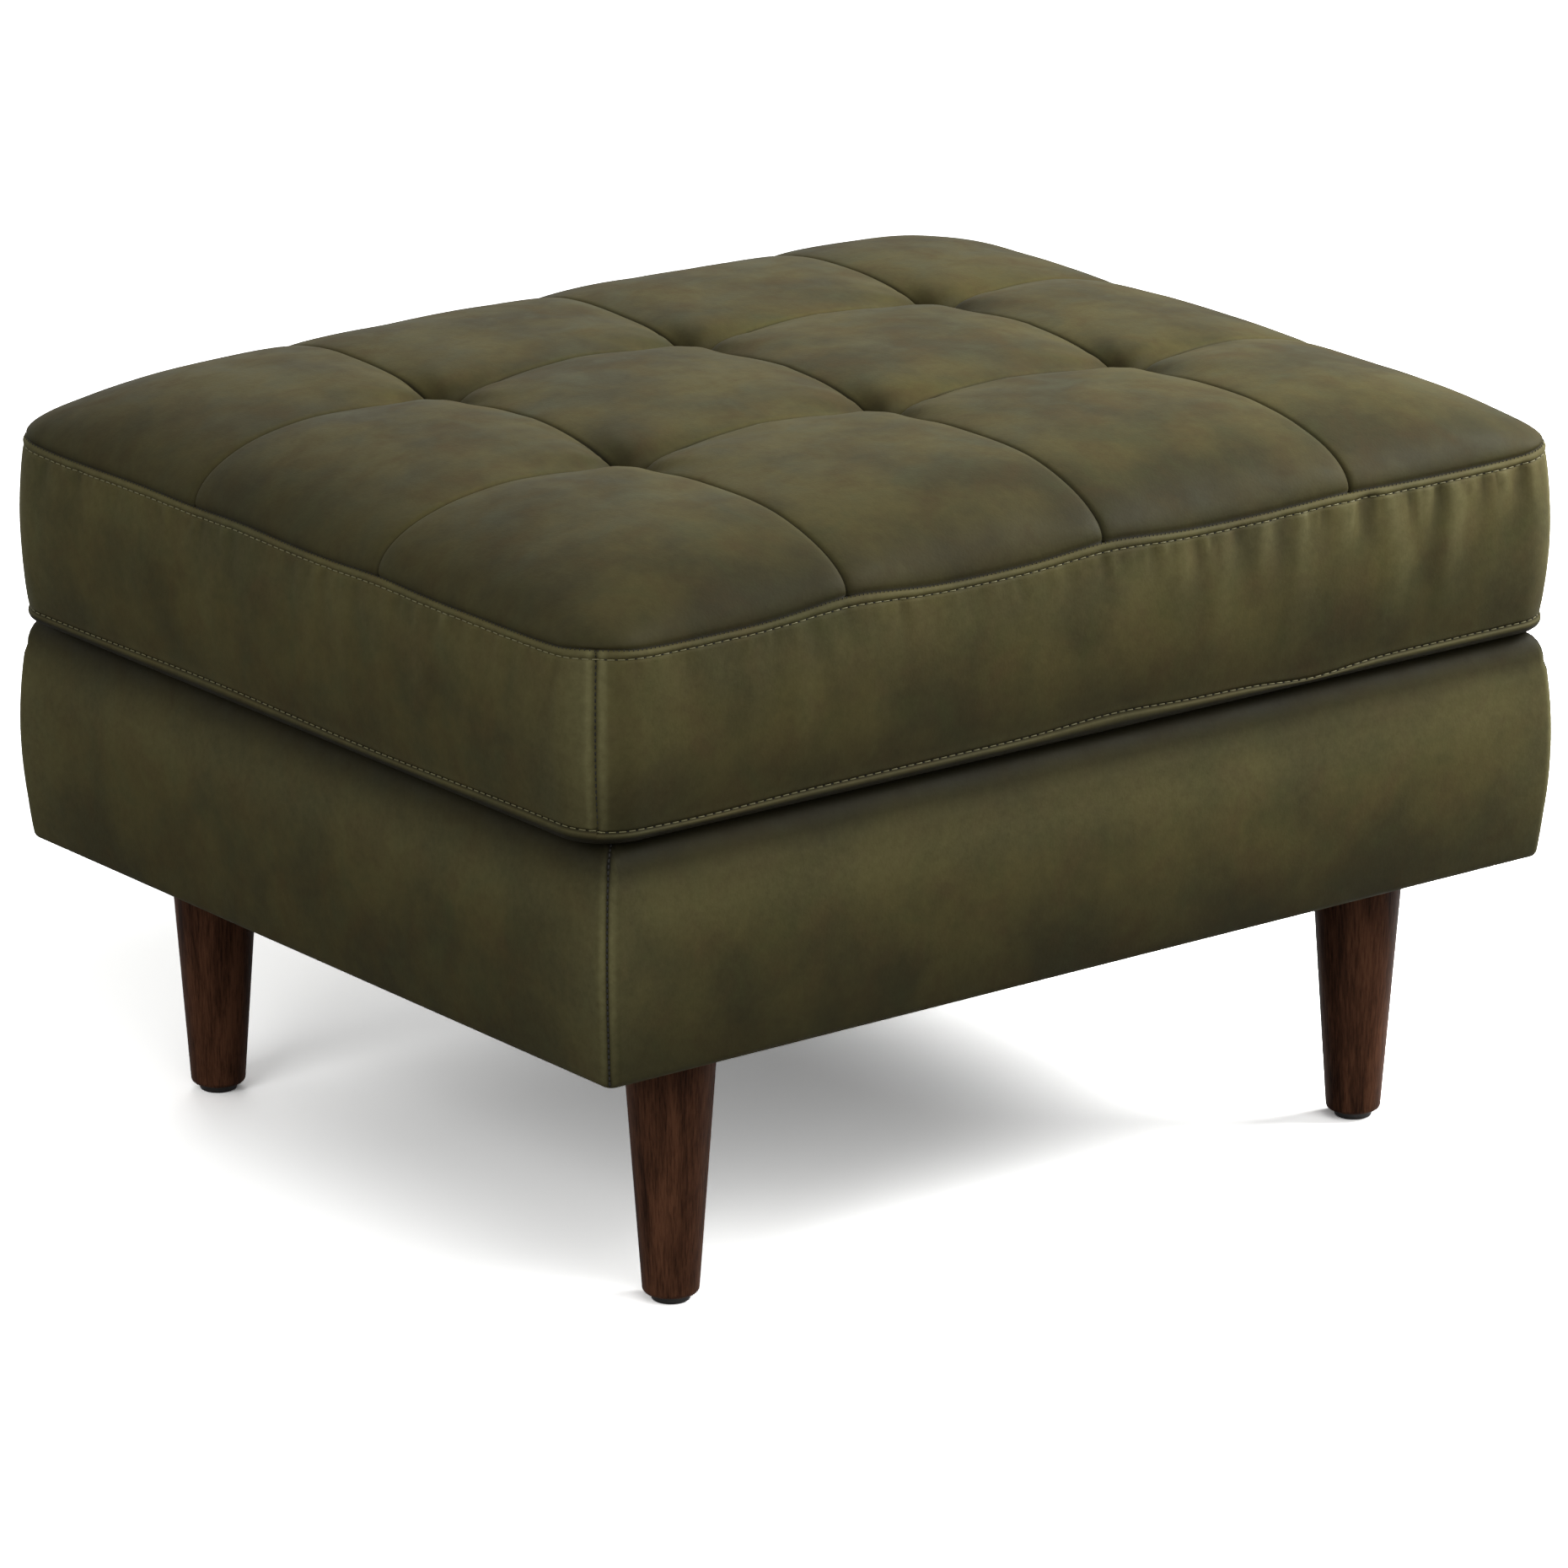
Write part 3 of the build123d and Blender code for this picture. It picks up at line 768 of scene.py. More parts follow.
def crease_cushion(obj, cover):
    """Draw seams, folds and the zip's slot into the cover, and note each point's wear and painted
    light, and its dark seams and painted shade.
    """
    # inward is in millimetres; the other two are shares that the leather's material reads: wear
    # with painted light, and dark seams with painted shade.
    # Each term is an amount times a bell or a fading of its own width in millimetres.
    mesh = obj.data
    normals = [v.normal.copy() for v in mesh.vertices]
    folds = {side: puckers(side) for side in ("front", "right", "back", "left")}
    full = under_depth()
    depth_mm = sizes().seam_depth / MM
    wear_and_painted_light = []
    dark = []
    for vertex, note, normal in zip(mesh.vertices, cover.notes, normals):
        inward = 0.0
        worn_and_painted_light = 0.0
        dark_seams_and_shade = 0.0
        place = vertex.co / MM
        loose = noise.noise(place / 85) * 1.3 + noise.noise(place / 31 + Vector((7, 3, 1))) * 0.35
        if note["part"] == "top":
            u, v = note["u"], note["v"]
            side, along, rim = side_of(u, v)
            near_tuft = to_tuft(u, v)
            # the panel seams: deeper near the tufts and the rim, and wider near the tufts
            deep = 1 + 1.6 * math.exp(-near_tuft / 30) + 0.6 * math.exp(-rim / 14)
            wide = 1.0 + 0.6 * math.exp(-near_tuft / 24)
            for off in [u - s for s in seams_x] + [v - s for s in seams_y]:
                off = abs(off)
                if off < 30:
                    inward += depth_mm * deep * math.exp(-off / wide)
                    inward += 0.4 * deep * bell(off, 7)
                    # the dark seam line widens near the tufts into painted shade
                    dark_seams_and_shade = max(dark_seams_and_shade, bell(off, 0.6 + 2.1 * math.exp(-near_tuft / 24)))
                    worn_and_painted_light = max(worn_and_painted_light, 0.09 * bell(off - 2.6, 1.4))
            # the closing seam at the rim, with a rubbed edge over it
            rise = rim_share(u, v) * sizes().crown / MM
            inward += 1.2 * math.exp(-rise / 1.0)
            dark_seams_and_shade = max(dark_seams_and_shade, 0.9 * bell(rise, 0.6))
            worn_and_painted_light = max(worn_and_painted_light, 0.12 * bell(rise - 7, 6))
            # painted shade in the tufts and towards the rim
            dark_seams_and_shade = max(dark_seams_and_shade, 0.66 * bell(near_tuft, 18), 0.5 * math.exp(-rim / 46))
            inward -= loose * min(1, rise / 20)
            # small folds that run out from each tuft
            for n, (x, y) in enumerate(tufts):
                reach = math.hypot(u - x, v - y)
                if reach < 70:
                    turn = math.atan2(v - y, u - x)
                    ray = math.cos(turn * 9 + n) + 0.5 * math.cos(turn * 14 + 2 * n)
                    inward += 0.12 * ray * bell(reach - 26, 15)
        else:
            depth, along, side = note["depth"], note["along"], note["side"]
            # the closing seam, the groove of the topstitching and the rubbed band between them
            inward += 1.2 * math.exp(-depth / 0.5)
            inward += 0.75 * bell(depth - topstitch_drop, 0.75)
            dark_seams_and_shade = max(dark_seams_and_shade, bell(depth, 0.5), 0.3 * bell(depth - topstitch_drop, 0.5))
            worn_and_painted_light = max(worn_and_painted_light, 0.4 * bell(depth - 3.0, 1.9))
            # the lower seam, and the roll under it, painted dark as shade
            inward += 1.3 * bell(depth - full, 0.8)
            painted_roll_shade = 0.95 * min(1, max(0, (depth - full - 0.6) / 3.6))
            dark_seams_and_shade = max(dark_seams_and_shade, 0.85 * bell(depth - full, 0.8), painted_roll_shade)
            rolled = 0.35 * bell(depth - full - 2.2, 1.6)
            worn_and_painted_light = max(worn_and_painted_light, rolled, 0.12 * bell(depth - full + 3, 3))
            if depth < full:
                inward -= 0.5 * loose * min(1, depth / 12, (full - depth) / 12)
                # rubbed towards the corners; the extra on the left, as in the photograph, is
                # painted light
                to_corner = math.exp(-note["corner"] / 36)
                worn_and_painted_light = max(worn_and_painted_light, (0.62 if side == "left" else 0.32) * to_corner)
                # painted shade inside the folds, painted highlight on their crests, and painted
                # light on the upper part of the boxing
                fold = pucker_depth(folds[side], along, depth) * min(1, note["corner"] / corner)
                inward += fold
                dark_seams_and_shade = max(dark_seams_and_shade, min(0.4, 0.28 * max(fold, 0)))
                worn_and_painted_light = max(worn_and_painted_light, min(0.5, 0.7 * max(-fold, 0)), 0.18 * bell(depth - 20, 22))
                # painted shade towards the lower seam, strongest on the front
                dark_seams_and_shade = max(dark_seams_and_shade, (0.42 if side == "front" else 0.24) * bell(full - depth, 34))
            if note["corner"] < corner:
                # the upright seam in the middle of the corner
                from_seam = note["corner"]
                fade = 1 if depth < full else 0
                inward += 1.6 * bell(from_seam, 1.5) * fade
                dark_seams_and_shade = max(dark_seams_and_shade, 0.45 * bell(from_seam, 1.0) * fade)
                worn_and_painted_light = max(worn_and_painted_light, 0.95 * bell(from_seam - 3.6, 3.2) * fade)
            if side == "back" and abs(along) <= slot_half_x + 0.01:
                # the zip's slot: its floor and turned edges, painted dark as shade, and the rubbed
                # leather beside them
                off = abs(depth - (seam_z - zip_z))
                if off < slot_half_z - 0.1 and abs(along) < slot_half_x - 0.1:
                    vertex.co.y = slot_floor_y * MM
                    inward = 0
                    dark_seams_and_shade = 0.9
                elif off < slot_half_z + 0.2:
                    inward = 1.6
                    dark_seams_and_shade = 0.6
                elif off < slot_half_z + 5:
                    worn_and_painted_light = max(worn_and_painted_light, 0.5)
        vertex.co -= normal * inward * MM
        if note["part"] == "top" and near_tuft < 30:
            # the tie draws the leather down onto the foam, and no further
            vertex.co.z = max(vertex.co.z, core_top + 1.5 * MM)
        wear_and_painted_light.append(min(1.0, worn_and_painted_light))
        dark.append(min(1.0, dark_seams_and_shade))
    keep_shares(mesh, wear_and_painted_light, dark)


def held_share(note):
    """How firmly a seam, a tuft or the zip holds a place of the cover while it fills."""
    if note["part"] == "top":
        u, v = note["u"], note["v"]
        near_tuft = to_tuft(u, v)
        seam = min(min(abs(u - s) for s in seams_x), min(abs(v - s) for s in seams_y))
        rim = min(half_x - abs(u), half_y - abs(v))
        return max(near_tuft < 14, seam < 1, rim < 1, 0.5 * (near_tuft < 30))
    depth = note["depth"]
    by_zip = abs(note["along"]) < slot_half_x + 8 and abs(depth - seam_z + zip_z) < 13
    sewn = depth < 6.5 or depth > under_depth() - 2 or note["corner"] < 3
    return float(sewn or note["side"] == "back" and by_zip)


def pulled_share(note):
    """How much a place of the boxing is gathered: most at the right end of the front."""
    if note["part"] == "top":
        return 0.0
    if note["side"] == "front":
        return min(1.0, max(0.12, (note["along"] - 10) / 130))
    return 0.15


def fill_cover(obj):
    """Fill the cover by cloth simulation of a coarser one, whose movement it takes over."""
    # no point moves further than the cap, in millimetres
    soft_cap = 6.0
    last_frame = 20
    form = cushion_form(coarse)
    blank = mesh_piece("cushion_blank", form.points, form.faces)
    rest = [v.co.copy() for v in blank.data.vertices]
    held = blank.vertex_groups.new(name="held")
    gathered = blank.vertex_groups.new(name="gathered")
    for n, note in enumerate(form.notes):
        held.add([n], held_share(note), "REPLACE")
        gathered.add([n], pulled_share(note), "REPLACE")
    only(blank)
    cloth = blank.modifiers.new("cloth", "CLOTH")
    leather = cloth.settings
    leather.quality = 5
    leather.mass = 0.4
    leather.tension_stiffness = 30
    leather.compression_stiffness = 30
    leather.shear_stiffness = 12
    leather.bending_stiffness = 0.5
    leather.use_pressure = True
    leather.uniform_pressure_force = 4
    leather.shrink_min = 0.0
    leather.shrink_max = -0.025
    leather.vertex_group_shrink = "gathered"
    leather.vertex_group_mass = "held"
    leather.effector_weights.gravity = 0
    cloth.point_cache.frame_start = 1
    cloth.point_cache.frame_end = last_frame
    for step in range(1, last_frame + 1):
        bpy.context.scene.frame_set(step)
    bpy.ops.object.modifier_apply(modifier="cloth")
    bpy.context.scene.frame_set(1)
    for vertex, start in zip(blank.data.vertices, rest):
        move = (vertex.co - start) / MM
        filled.append(move * soft_cap / (soft_cap + move.length) * MM)
    faces = [tuple(p.vertices) for p in blank.data.polygons if len(p.vertices) == 4]
    tree = BVHTree.FromPolygons(rest, faces)
    for vertex in obj.data.vertices:
        place, normal, face, reach = tree.find_nearest(vertex.co)
        shares = poly_3d_calc([rest[n] for n in faces[face]], place)
        for n, share in zip(faces[face], shares):
            vertex.co += filled[n] * share
    bpy.data.objects.remove(blank)
    obj.data.update()


class OTTOMAN_OT_cushion(bpy.types.Operator):
    """Make the cushion's leather cover"""

    bl_idname = "ottoman.cushion"
    bl_label = "Cushion cover"

    def execute(self, context):
        cover = cushion_form(sizes().spacing / MM)
        obj = mesh_piece("cushion_cover", cover.points, cover.faces)
        fill_cover(obj)
        crease_cushion(obj, cover)
        for name, track in cover.tracks.items():
            points = [obj.data.vertices[n] for n in track]
            seam_lines[name] = [(point.co.copy(), point.normal.copy()) for point in points]
        dress(obj, "waxed_pull_up_leather")
        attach(obj, "cushion")
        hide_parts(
            "tufted_top",
            "boxing_front",
            "boxing_left",
            "boxing_right",
            "boxing_back_upper",
            "boxing_back_lower",
            "bottom_cover",
        )
        return {"FINISHED"}


class OTTOMAN_OT_wadding(bpy.types.Operator):
    """Make the fibre wrap round the cushion's core, just under the cover"""

    bl_idname = "ottoman.wadding"
    bl_label = "Fibre wrap"

    def execute(self, context):
        form = cushion_form(coarse)
        obj = mesh_piece("fibre_wrap", form.points, form.faces)
        mesh = obj.data
        normals = [v.normal.copy() for v in mesh.vertices]
        for vertex, note, normal in zip(mesh.vertices, form.notes, normals):
            drop = 0.0
            if note["part"] == "top":
                rise = vertex.co.z / MM - seam_z
                shrink = 4.5 + 4.5 * math.exp(-max(rise, 0) / 12)
                drop = 11.0 * bell(to_tuft(note["u"], note["v"]), 20)
            else:
                shrink = 9.0
            lump = noise.noise(vertex.co / (22 * MM)) * 0.8
            vertex.co -= normal * (shrink + lump) * MM
            low = core_top + 0.3 * MM if drop > 0.5 else (under_z + 1.5) * MM
            vertex.co.z = max(vertex.co.z - drop * MM, low)
        for vertex, move in zip(mesh.vertices, filled):
            vertex.co += move
        mesh.update()
        dress(obj, "bonded_fibre")
        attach(obj, "cushion")
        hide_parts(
            "top_wadding",
            "side_wadding_front",
            "side_wadding_back",
            "side_wadding_left",
            "side_wadding_right",
        )
        return {"FINISHED"}


# The base's cover

base_low, base_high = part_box("base_leather_front")
deck_z = base_high.z / MM
base_z = base_low.z / MM
base_half_x = 351.0
base_half_y = 295.0
base_bulge = 6.5
deck_lip = 46.0
under_lip = 22.0
top_round = 22.0
foot_round = 5.0
# the pads lie this far inside the leather's face and are this thick
pad_gap, pad_thickness = 3.2, 8.0


def base_profile():
    """Outline of the base's side from the lip on deck to the one underneath: way out and height."""
    middle = (deck_z + base_z) / 2
    half = (deck_z - base_z) / 2
    found = [(-deck_lip, deck_z), (-38.0, deck_z), (-30.0, deck_z)]
    # the bulge is the arc through both edges, cut off by the two rounds
    turn_z = deck_z - top_round
    for k in range(9):
        angle = math.pi / 2 * k / 8
        out = -top_round + 0.9 + (top_round + 1.0) * math.sin(angle)
        found.append((out, turn_z + top_round * math.cos(angle)))
    count = 22
    for k in range(1, count):
        z = turn_z + (base_z + foot_round - turn_z) * k / count
        found.append((base_bulge * (1 - ((z - middle) / half) ** 2), z))
    for k in range(6):
        angle = math.pi / 2 * k / 5
        out = -foot_round + foot_round * math.cos(angle) + 0.8 * (1 - k / 5)
        found.append((out, base_z + foot_round * (1 - math.sin(angle))))
    found += [(-9.0, base_z), (-14.0, base_z), (-under_lip, base_z)]
    return found


def ring(half_a, half_b, radius, spacing_share):
    """Points round a rounded rectangle, each with the way out and its distance from the corner."""
    found = []
    turns = 12
    # the front, the right, the back and the left
    for tx, ty in ((1, 0), (0, 1), (-1, 0), (0, -1)):
        length = (half_a if tx else half_b) - radius
        nx, ny = ty, -tx
        other = half_b if tx else half_a
        for share in spacing_share[0 if tx else 1]:
            along = length * share
            x = tx * along + nx * other
            y = ty * along + ny * other
            found.append((x, y, nx, ny, length + radius - abs(along)))
        # the corner after this side
        cx = tx * length + nx * (other - radius)
        cy = ty * length + ny * (other - radius)
        for k in range(1, turns):
            angle = math.pi / 2 * k / turns
            ox = nx * math.cos(angle) + tx * math.sin(angle)
            oy = ny * math.cos(angle) + ty * math.sin(angle)
            from_corner = radius * abs(angle - math.pi / 4)
            found.append((cx + radius * ox, cy + radius * oy, ox, oy, from_corner))
    return found


def side_shares(counts):
    """Places of the columns along each side, closer together towards the corners."""
    found = []
    for count in counts:
        even = [2 * k / count - 1 for k in range(count + 1)]
        found.append([0.65 * t + 0.35 * math.sin(math.pi / 2 * t) for t in even])
    return found


def base_form(profile, counts):
    """Faces round the base for an outline, and a note of what each point is."""
    shares = side_shares(counts)
    points, faces, notes, loops = [], [], [], []
    for out, z in profile:
        radius = min(max(7 + out, 0.6), 11)
        loop = []
        for x, y, nx, ny, from_corner in ring(base_half_x + out, base_half_y + out, radius, shares):
            loop.append(len(points))
            points.append((x, y, z))
            notes.append((z, from_corner))
        loops.append(loop)
    count = len(loops[0])
    for upper, lower in zip(loops[:-1], loops[1:]):
        for k in range(count):
            faces.append((upper[k], lower[k], lower[(k + 1) % count], upper[(k + 1) % count]))
    return points, faces, notes, loops


class OTTOMAN_OT_base(bpy.types.Operator):
    """Make the leather cover of the base"""

    bl_idname = "ottoman.base"
    bl_label = "Base cover"

    def execute(self, context):
        points, faces, notes, loops = base_form(base_profile(), (116, 98))
        obj = mesh_piece("base_cover", points, faces)
        mesh = obj.data
        normals = [v.normal.copy() for v in mesh.vertices]
        wear_and_painted_light, dark = [], []
        for vertex, normal, (z, from_corner) in zip(mesh.vertices, normals, notes):
            place = vertex.co / MM
            over, under = z - base_z, deck_z - z
            loose = noise.noise(place / 120) * 1.0
            loose += noise.noise(place / 36 + Vector((2, 9, 4))) * 0.25
            upright = min(1, max(0, over / 4), max(0, under / 3))
            # the corner seam is drawn in, and the leather between the edges is a little loose
            inward = 1.1 * math.exp(-from_corner / 0.9) * upright
            free = min(1, max(0, over / 25), max(0, under / 25)) * min(1, from_corner / 10)
            inward -= loose * free
            # rubbed light beside the corner seam and towards the corners, with painted light across
            # the upper part of the bulge and the extra on the left side
            front, left = max(0, -normal.y), max(0, -normal.x)
            to_corner = (0.36 + 0.26 * left) * math.exp(-from_corner / 38)
            light = max(to_corner, 0.3 * bell(under - 36, 26), 0.95 * bell(from_corner - 3.2, 3.4))
            wear_and_painted_light.append(min(1, light * upright))
            # painted shade towards the foot, strongest on the front
            painted_foot_shade = (0.3 + 0.26 * front) * bell(over, 44)
            # painted shade under the cushion's overhang, less on the lip round the deck
            gap = 0.97 * bell(under, 26) * (0.3 + 0.7 * min(1, under / 4))
            # painted shade also on the lip underneath
            shade = max(painted_foot_shade, gap, 0.6 * (z <= base_z + 0.5))
            dark.append(min(1, bell(from_corner, 0.8) * upright + shade))
            vertex.co -= normal * inward * MM
        keep_shares(mesh, wear_and_painted_light, dark)
        corners = [k for k, n in enumerate(loops[0]) if notes[n][1] == 0]
        for n, k in enumerate(corners):
            seam_lines["base_corner_%d" % n] = [
                (mesh.vertices[loop[k]].co.copy(), mesh.vertices[loop[k]].normal.copy())
                for loop in loops
                if base_z + 4 < points[loop[k]][2] < deck_z - 0.5
            ]
        apply_all(thicken(obj, 1.2))
        dress(obj, "waxed_pull_up_leather")
        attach(obj, "base")
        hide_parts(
            "base_leather_front",
            "base_leather_back",
            "base_leather_left",
            "base_leather_right",
        )

        # the foam pads behind the leather, glued to the rails
        middle = (deck_z + base_z) / 2
        profile = [
            (out - pad_gap, z - pad_gap * (z - middle) / 73)
            for out, z in base_profile()
            if out > -20
        ]
        points, faces, notes, loops = base_form(profile, (40, 34))
        pads = mesh_piece("base_pads", points, faces)
        apply_all(thicken(pads, pad_thickness))
        dress(pads, "cut_foam", 50)
        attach(pads, "base")
        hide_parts("base_pad_front", "base_pad_back", "base_pad_left", "base_pad_right")
        return {"FINISHED"}


# Cloth on the deck and under the base

deck_half_x, deck_half_y = 305.0, 249.0
dust_half_x, dust_half_y = 329.0, 273.0
leg_x, leg_y = 260.0, 231.0


def sheet_piece(name, node, lines_x, lines_y, relief):
    """Flat cloth in the place of a node: a grid moved by its relief."""
    low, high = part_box(node)
    deselect()
    bpy.ops.mesh.primitive_grid_add(
        x_subdivisions=lines_x, y_subdivisions=lines_y, size=1, location=(low + high) / 2
    )
    obj = bpy.context.object
    obj.name = name
    obj.scale = (high.x - low.x, high.y - low.y, 1)
    settle(obj)
    for vertex in obj.data.vertices:
        vertex.co.z += relief(vertex.co.x / MM, vertex.co.y / MM) * MM
    return obj


class OTTOMAN_OT_cloths(bpy.types.Operator):
    """Make the deck cloth and the dust cover with its staples"""

    bl_idname = "ottoman.cloths"
    bl_label = "Deck cloth and dust cover"

    def execute(self, context):
        def deck(x, y):
            edge = min(deck_half_x - abs(x), deck_half_y - abs(y))
            hollow = noise.noise(Vector((x / 90, y / 90, 4))) * 0.35 * min(1, edge / 40)
            return hollow - 0.25 * bell(edge - 7, 2.5)

        def dust(x, y):
            edge = min(dust_half_x - abs(x), dust_half_y - abs(y))
            # held flat where the legs press it, and sagging between them
            legs = min(math.hypot(abs(x) - leg_x, abs(y) - leg_y), 120) / 120
            sag = -2.4 * math.sin(math.pi * min(max(edge / 240, 0), 0.5)) * legs
            turned_under = 0.5 if edge < 13 else 0
            return sag - turned_under + 0.3 * noise.noise(Vector((x / 60, y / 60, 8))) * legs

        # node, lines each way, relief, size it was cut to, and what it rests on
        for node, lines_x, lines_y, relief, flat, under in (
            ("deck_cloth", 76, 62, deck, (0.610, 0.498), ["deck_foam"]),
            ("dust_cover", 94, 78, dust, (0.658, 0.546), ["rail_front", "rail_back"]),
        ):
            cloth = sheet_piece(node + "_sheet", node, lines_x, lines_y, relief)
            apply_all(thicken(cloth, 0.5))
            dress(cloth, "spun_cambric", 40)
            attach(cloth, "base")
            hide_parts(node)

        # staples 10.5 mm wide round the dust cover, one every 28 mm on a line 7 mm in from its edge
        x, y, z = 0.322, 0.266, 0.16335
        corners = [Vector(p) for p in ((-x, -y, z), (x, -y, z), (x, y, z), (-x, y, z))]
        staples = []
        for a, b in zip(corners, corners[1:] + corners[:1]):
            deselect()
            bpy.ops.mesh.primitive_cube_add(size=1)
            staple = bpy.context.object
            staple.scale = (0.0105, 0.0013, 0.0006)
            staple.location.x = 0.014
            settle(staple)
            bevel_edges(staple, 0.22, 1)
            # the row stops a step before the corner, so that the last staple is on the cloth
            end = b + (a - b).normalized() * 0.028
            staples.append(run_along("staple_row", [a, end], staple, 28.0, False))
        staples = joined("dust_cover_staples", staples)
        paint(staples, bpy.data.materials["zinc_plate"])
        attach(staples, "base")
        return {"FINISHED"}


# Stitching


def stitch(length, thickness, middle, axis="X"):
    """One stitch of thread, its middle that far along, its ends bevelled."""
    turn = {"X": (0, math.pi / 2, 0), "Y": (math.pi / 2, 0, 0), "Z": (0, 0, 0)}[axis]
    deselect()
    bpy.ops.mesh.primitive_cylinder_add(
        vertices=6, radius=thickness / 2 * MM, depth=length * MM, rotation=turn
    )
    obj = bpy.context.object
    obj.location.x = middle * MM
    settle(obj)
    line = "XYZ".index(axis)
    centre = middle * MM if axis == "X" else 0

    def at_an_end(edge):
        ends = [abs(abs(v.co[line] - centre) - length / 2 * MM) < 1e-6 for v in edge.verts]
        return all(ends) and abs(edge.verts[0].co[line] - edge.verts[1].co[line]) < 1e-6

    bevel_edges(obj, thickness * 0.28, 1, at_an_end)
    return obj


def run_along(name, path, unit, pitch, closed):
    """Repeat the unit every pitch along a path and bend the row on to it."""
    curve = bpy.data.curves.new(name + "_line", "CURVE")
    curve.dimensions = "3D"
    curve.twist_mode = "Z_UP"
    spline = curve.splines.new("POLY")
    spline.points.add(len(path) - 1)
    for point, place in zip(spline.points, path):
        point.co = (*place, 1)
    spline.use_cyclic_u = closed
    line = bpy.data.objects.new(name + "_line", curve)
    bpy.context.scene.collection.objects.link(line)
    row = unit.modifiers.new("row", "ARRAY")
    row.fit_type = "FIT_CURVE"
    row.curve = line
    row.use_relative_offset = False
    row.use_constant_offset = True
    row.constant_offset_displace = (pitch * MM, 0, 0)
    bend = unit.modifiers.new("bend", "CURVE")
    bend.object = line
    apply_all(unit)
    bpy.data.objects.remove(line)
    unit.name = name
    return unit


def joined(name, parts):
    """One object of several."""
    deselect()
    for part in parts:
        part.select_set(True)
    bpy.context.view_layer.objects.active = parts[0]
    if len(parts) > 1:
        bpy.ops.object.join()
    parts[0].name = name
    return parts[0]


def track(name, lift, near=None):
    """Places along a seam line, lifted off the leather."""
    found = seam_lines[name]
    if near:
        found = [entry for entry in found if near(entry[0] / MM)]
    return [place + way * lift * MM for place, way in found]


class OTTOMAN_OT_stitches(bpy.types.Operator):
    """Sew the covers: topstitching, closing seams and corner seams"""

    bl_idname = "ottoman.stitches"
    bl_label = "Stitching"

    def execute(self, context):
        if not seam_lines:
            raise RuntimeError("the covers come before their stitches")
        length = sizes().stitch / MM
        pitch = sizes().pitch / MM
        thread, dark = "bonded_nylon_thread", "needle_hole_shade"
        # name of the row, seam line, lift off the leather, and length and thickness of one stitch
        topstitches = []
        for name, line, lift in (
            ("upper_thread", "topstitch", 0.25),
            ("lower_thread", "lower", 0.6),
        ):
            unit = stitch(length, 0.7, pitch / 2)
            topstitches.append(run_along(name, track(line, lift), unit, pitch, True))
        self.finish(joined("cushion_topstitching", topstitches), thread, "cushion")

        holes = []
        for name, line, lift, long, thick in (
            ("upper_holes", "topstitch", 0.05, 1.2, 0.8),
            ("lower_holes", "lower", 0.45, 1.1, 0.7),
        ):
            unit = stitch(long, thick, 0)
            holes.append(run_along(name, track(line, lift), unit, pitch, True))
        self.finish(joined("cushion_needle_holes", holes), dark, "cushion")

        unit = stitch(1.7, 0.5, 1.5, "Z")
        closing = [run_along("closing_row", track("closing", 0.1), unit, 3.0, True)]
        for name in [n for n in seam_lines if n.startswith("corner_")]:
            unit = stitch(2.2, 0.8, 1.9)
            closing.append(run_along(name + "_row", track(name, 0.1), unit, 3.8, False))
        self.finish(joined("cushion_closing_stitches", closing), dark, "cushion")

        ticks = []
        for name in [n for n in seam_lines if n.startswith("across_") or n.startswith("along_")]:
            axis = 1 if name.startswith("across_") else 0
            half = half_y if axis else half_x
            for sign in (-1, 1):
                near = track(name, 0.25, lambda p: half - 58 < sign * p[axis] < half - 0.4)
                unit = stitch(2.3, 0.5, 1.2, "Y")
                ticks.append(run_along(name + "_ticks", near, unit, 2.6, False))
        self.finish(joined("panel_seam_stitches", ticks), dark, "cushion")

        corners = []
        for name in [n for n in seam_lines if n.startswith("base_corner_")]:
            unit = stitch(2.3, 1.1, 1.7)
            corners.append(run_along(name + "_row", track(name, 0.35), unit, 3.4, False))
        self.finish(joined("base_corner_stitches", corners), dark, "base")
        return {"FINISHED"}

    def finish(self, obj, material, body):
        dress(obj, material, 60)
        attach(obj, body)


# The zip


class OTTOMAN_OT_zip(bpy.types.Operator):
    """Make the zip's tapes and teeth in the back of the cushion"""

    bl_idname = "ottoman.zip"
    bl_label = "Zip"

    def execute(self, context):
        half_length = 300.0
        tape_y = 295.8
        for name, up in (("upper", 1), ("lower", -1)):
            deselect()
            bpy.ops.mesh.primitive_grid_add(
                x_subdivisions=120, y_subdivisions=6, size=1, rotation=(math.pi / 2, 0, 0)
            )
            tape = bpy.context.object
            tape.name = "zip_tape_cloth_" + name
            tape.scale = (2 * half_length * MM, 12.0 * MM, 1)
            tape.location = (0, tape_y * MM, (zip_z + up * 7.9) * MM)
            settle(tape)
            thicken(tape, 0.7, 0)
            edge = tape.modifiers.new("edge", "BEVEL")
            edge.width = 0.2 * MM
            apply_all(tape)
            paint(tape, bpy.data.materials["knitted_tape"])
            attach(tape, "cushion")

            deselect()
            bpy.ops.mesh.primitive_cube_add(size=1)
            tooth = bpy.context.object
            tooth.scale = (1.5 * MM, 2.1 * MM, 2.1 * MM)
            tooth.location = (1.3 * MM, 0, 0)
            settle(tooth)
            bevel_edges(tooth, 0.3, 2)
            # a tooth every 2.6 mm, those of one tape half a step from those of the other
            start = -half_length + 4 + (1.3 if up > 0 else 0)
            level = (zip_z + up * 1.9) * MM
            path = [Vector((x * MM, tape_y * MM, level)) for x in (start, half_length - 4)]
            teeth = run_along("zip_teeth_" + name, path, tooth, 2.6, False)
            dress(teeth, "antique_brass", 40)
            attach(teeth, "cushion")
            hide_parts("zip_tape_" + name)
        return {"FINISHED"}


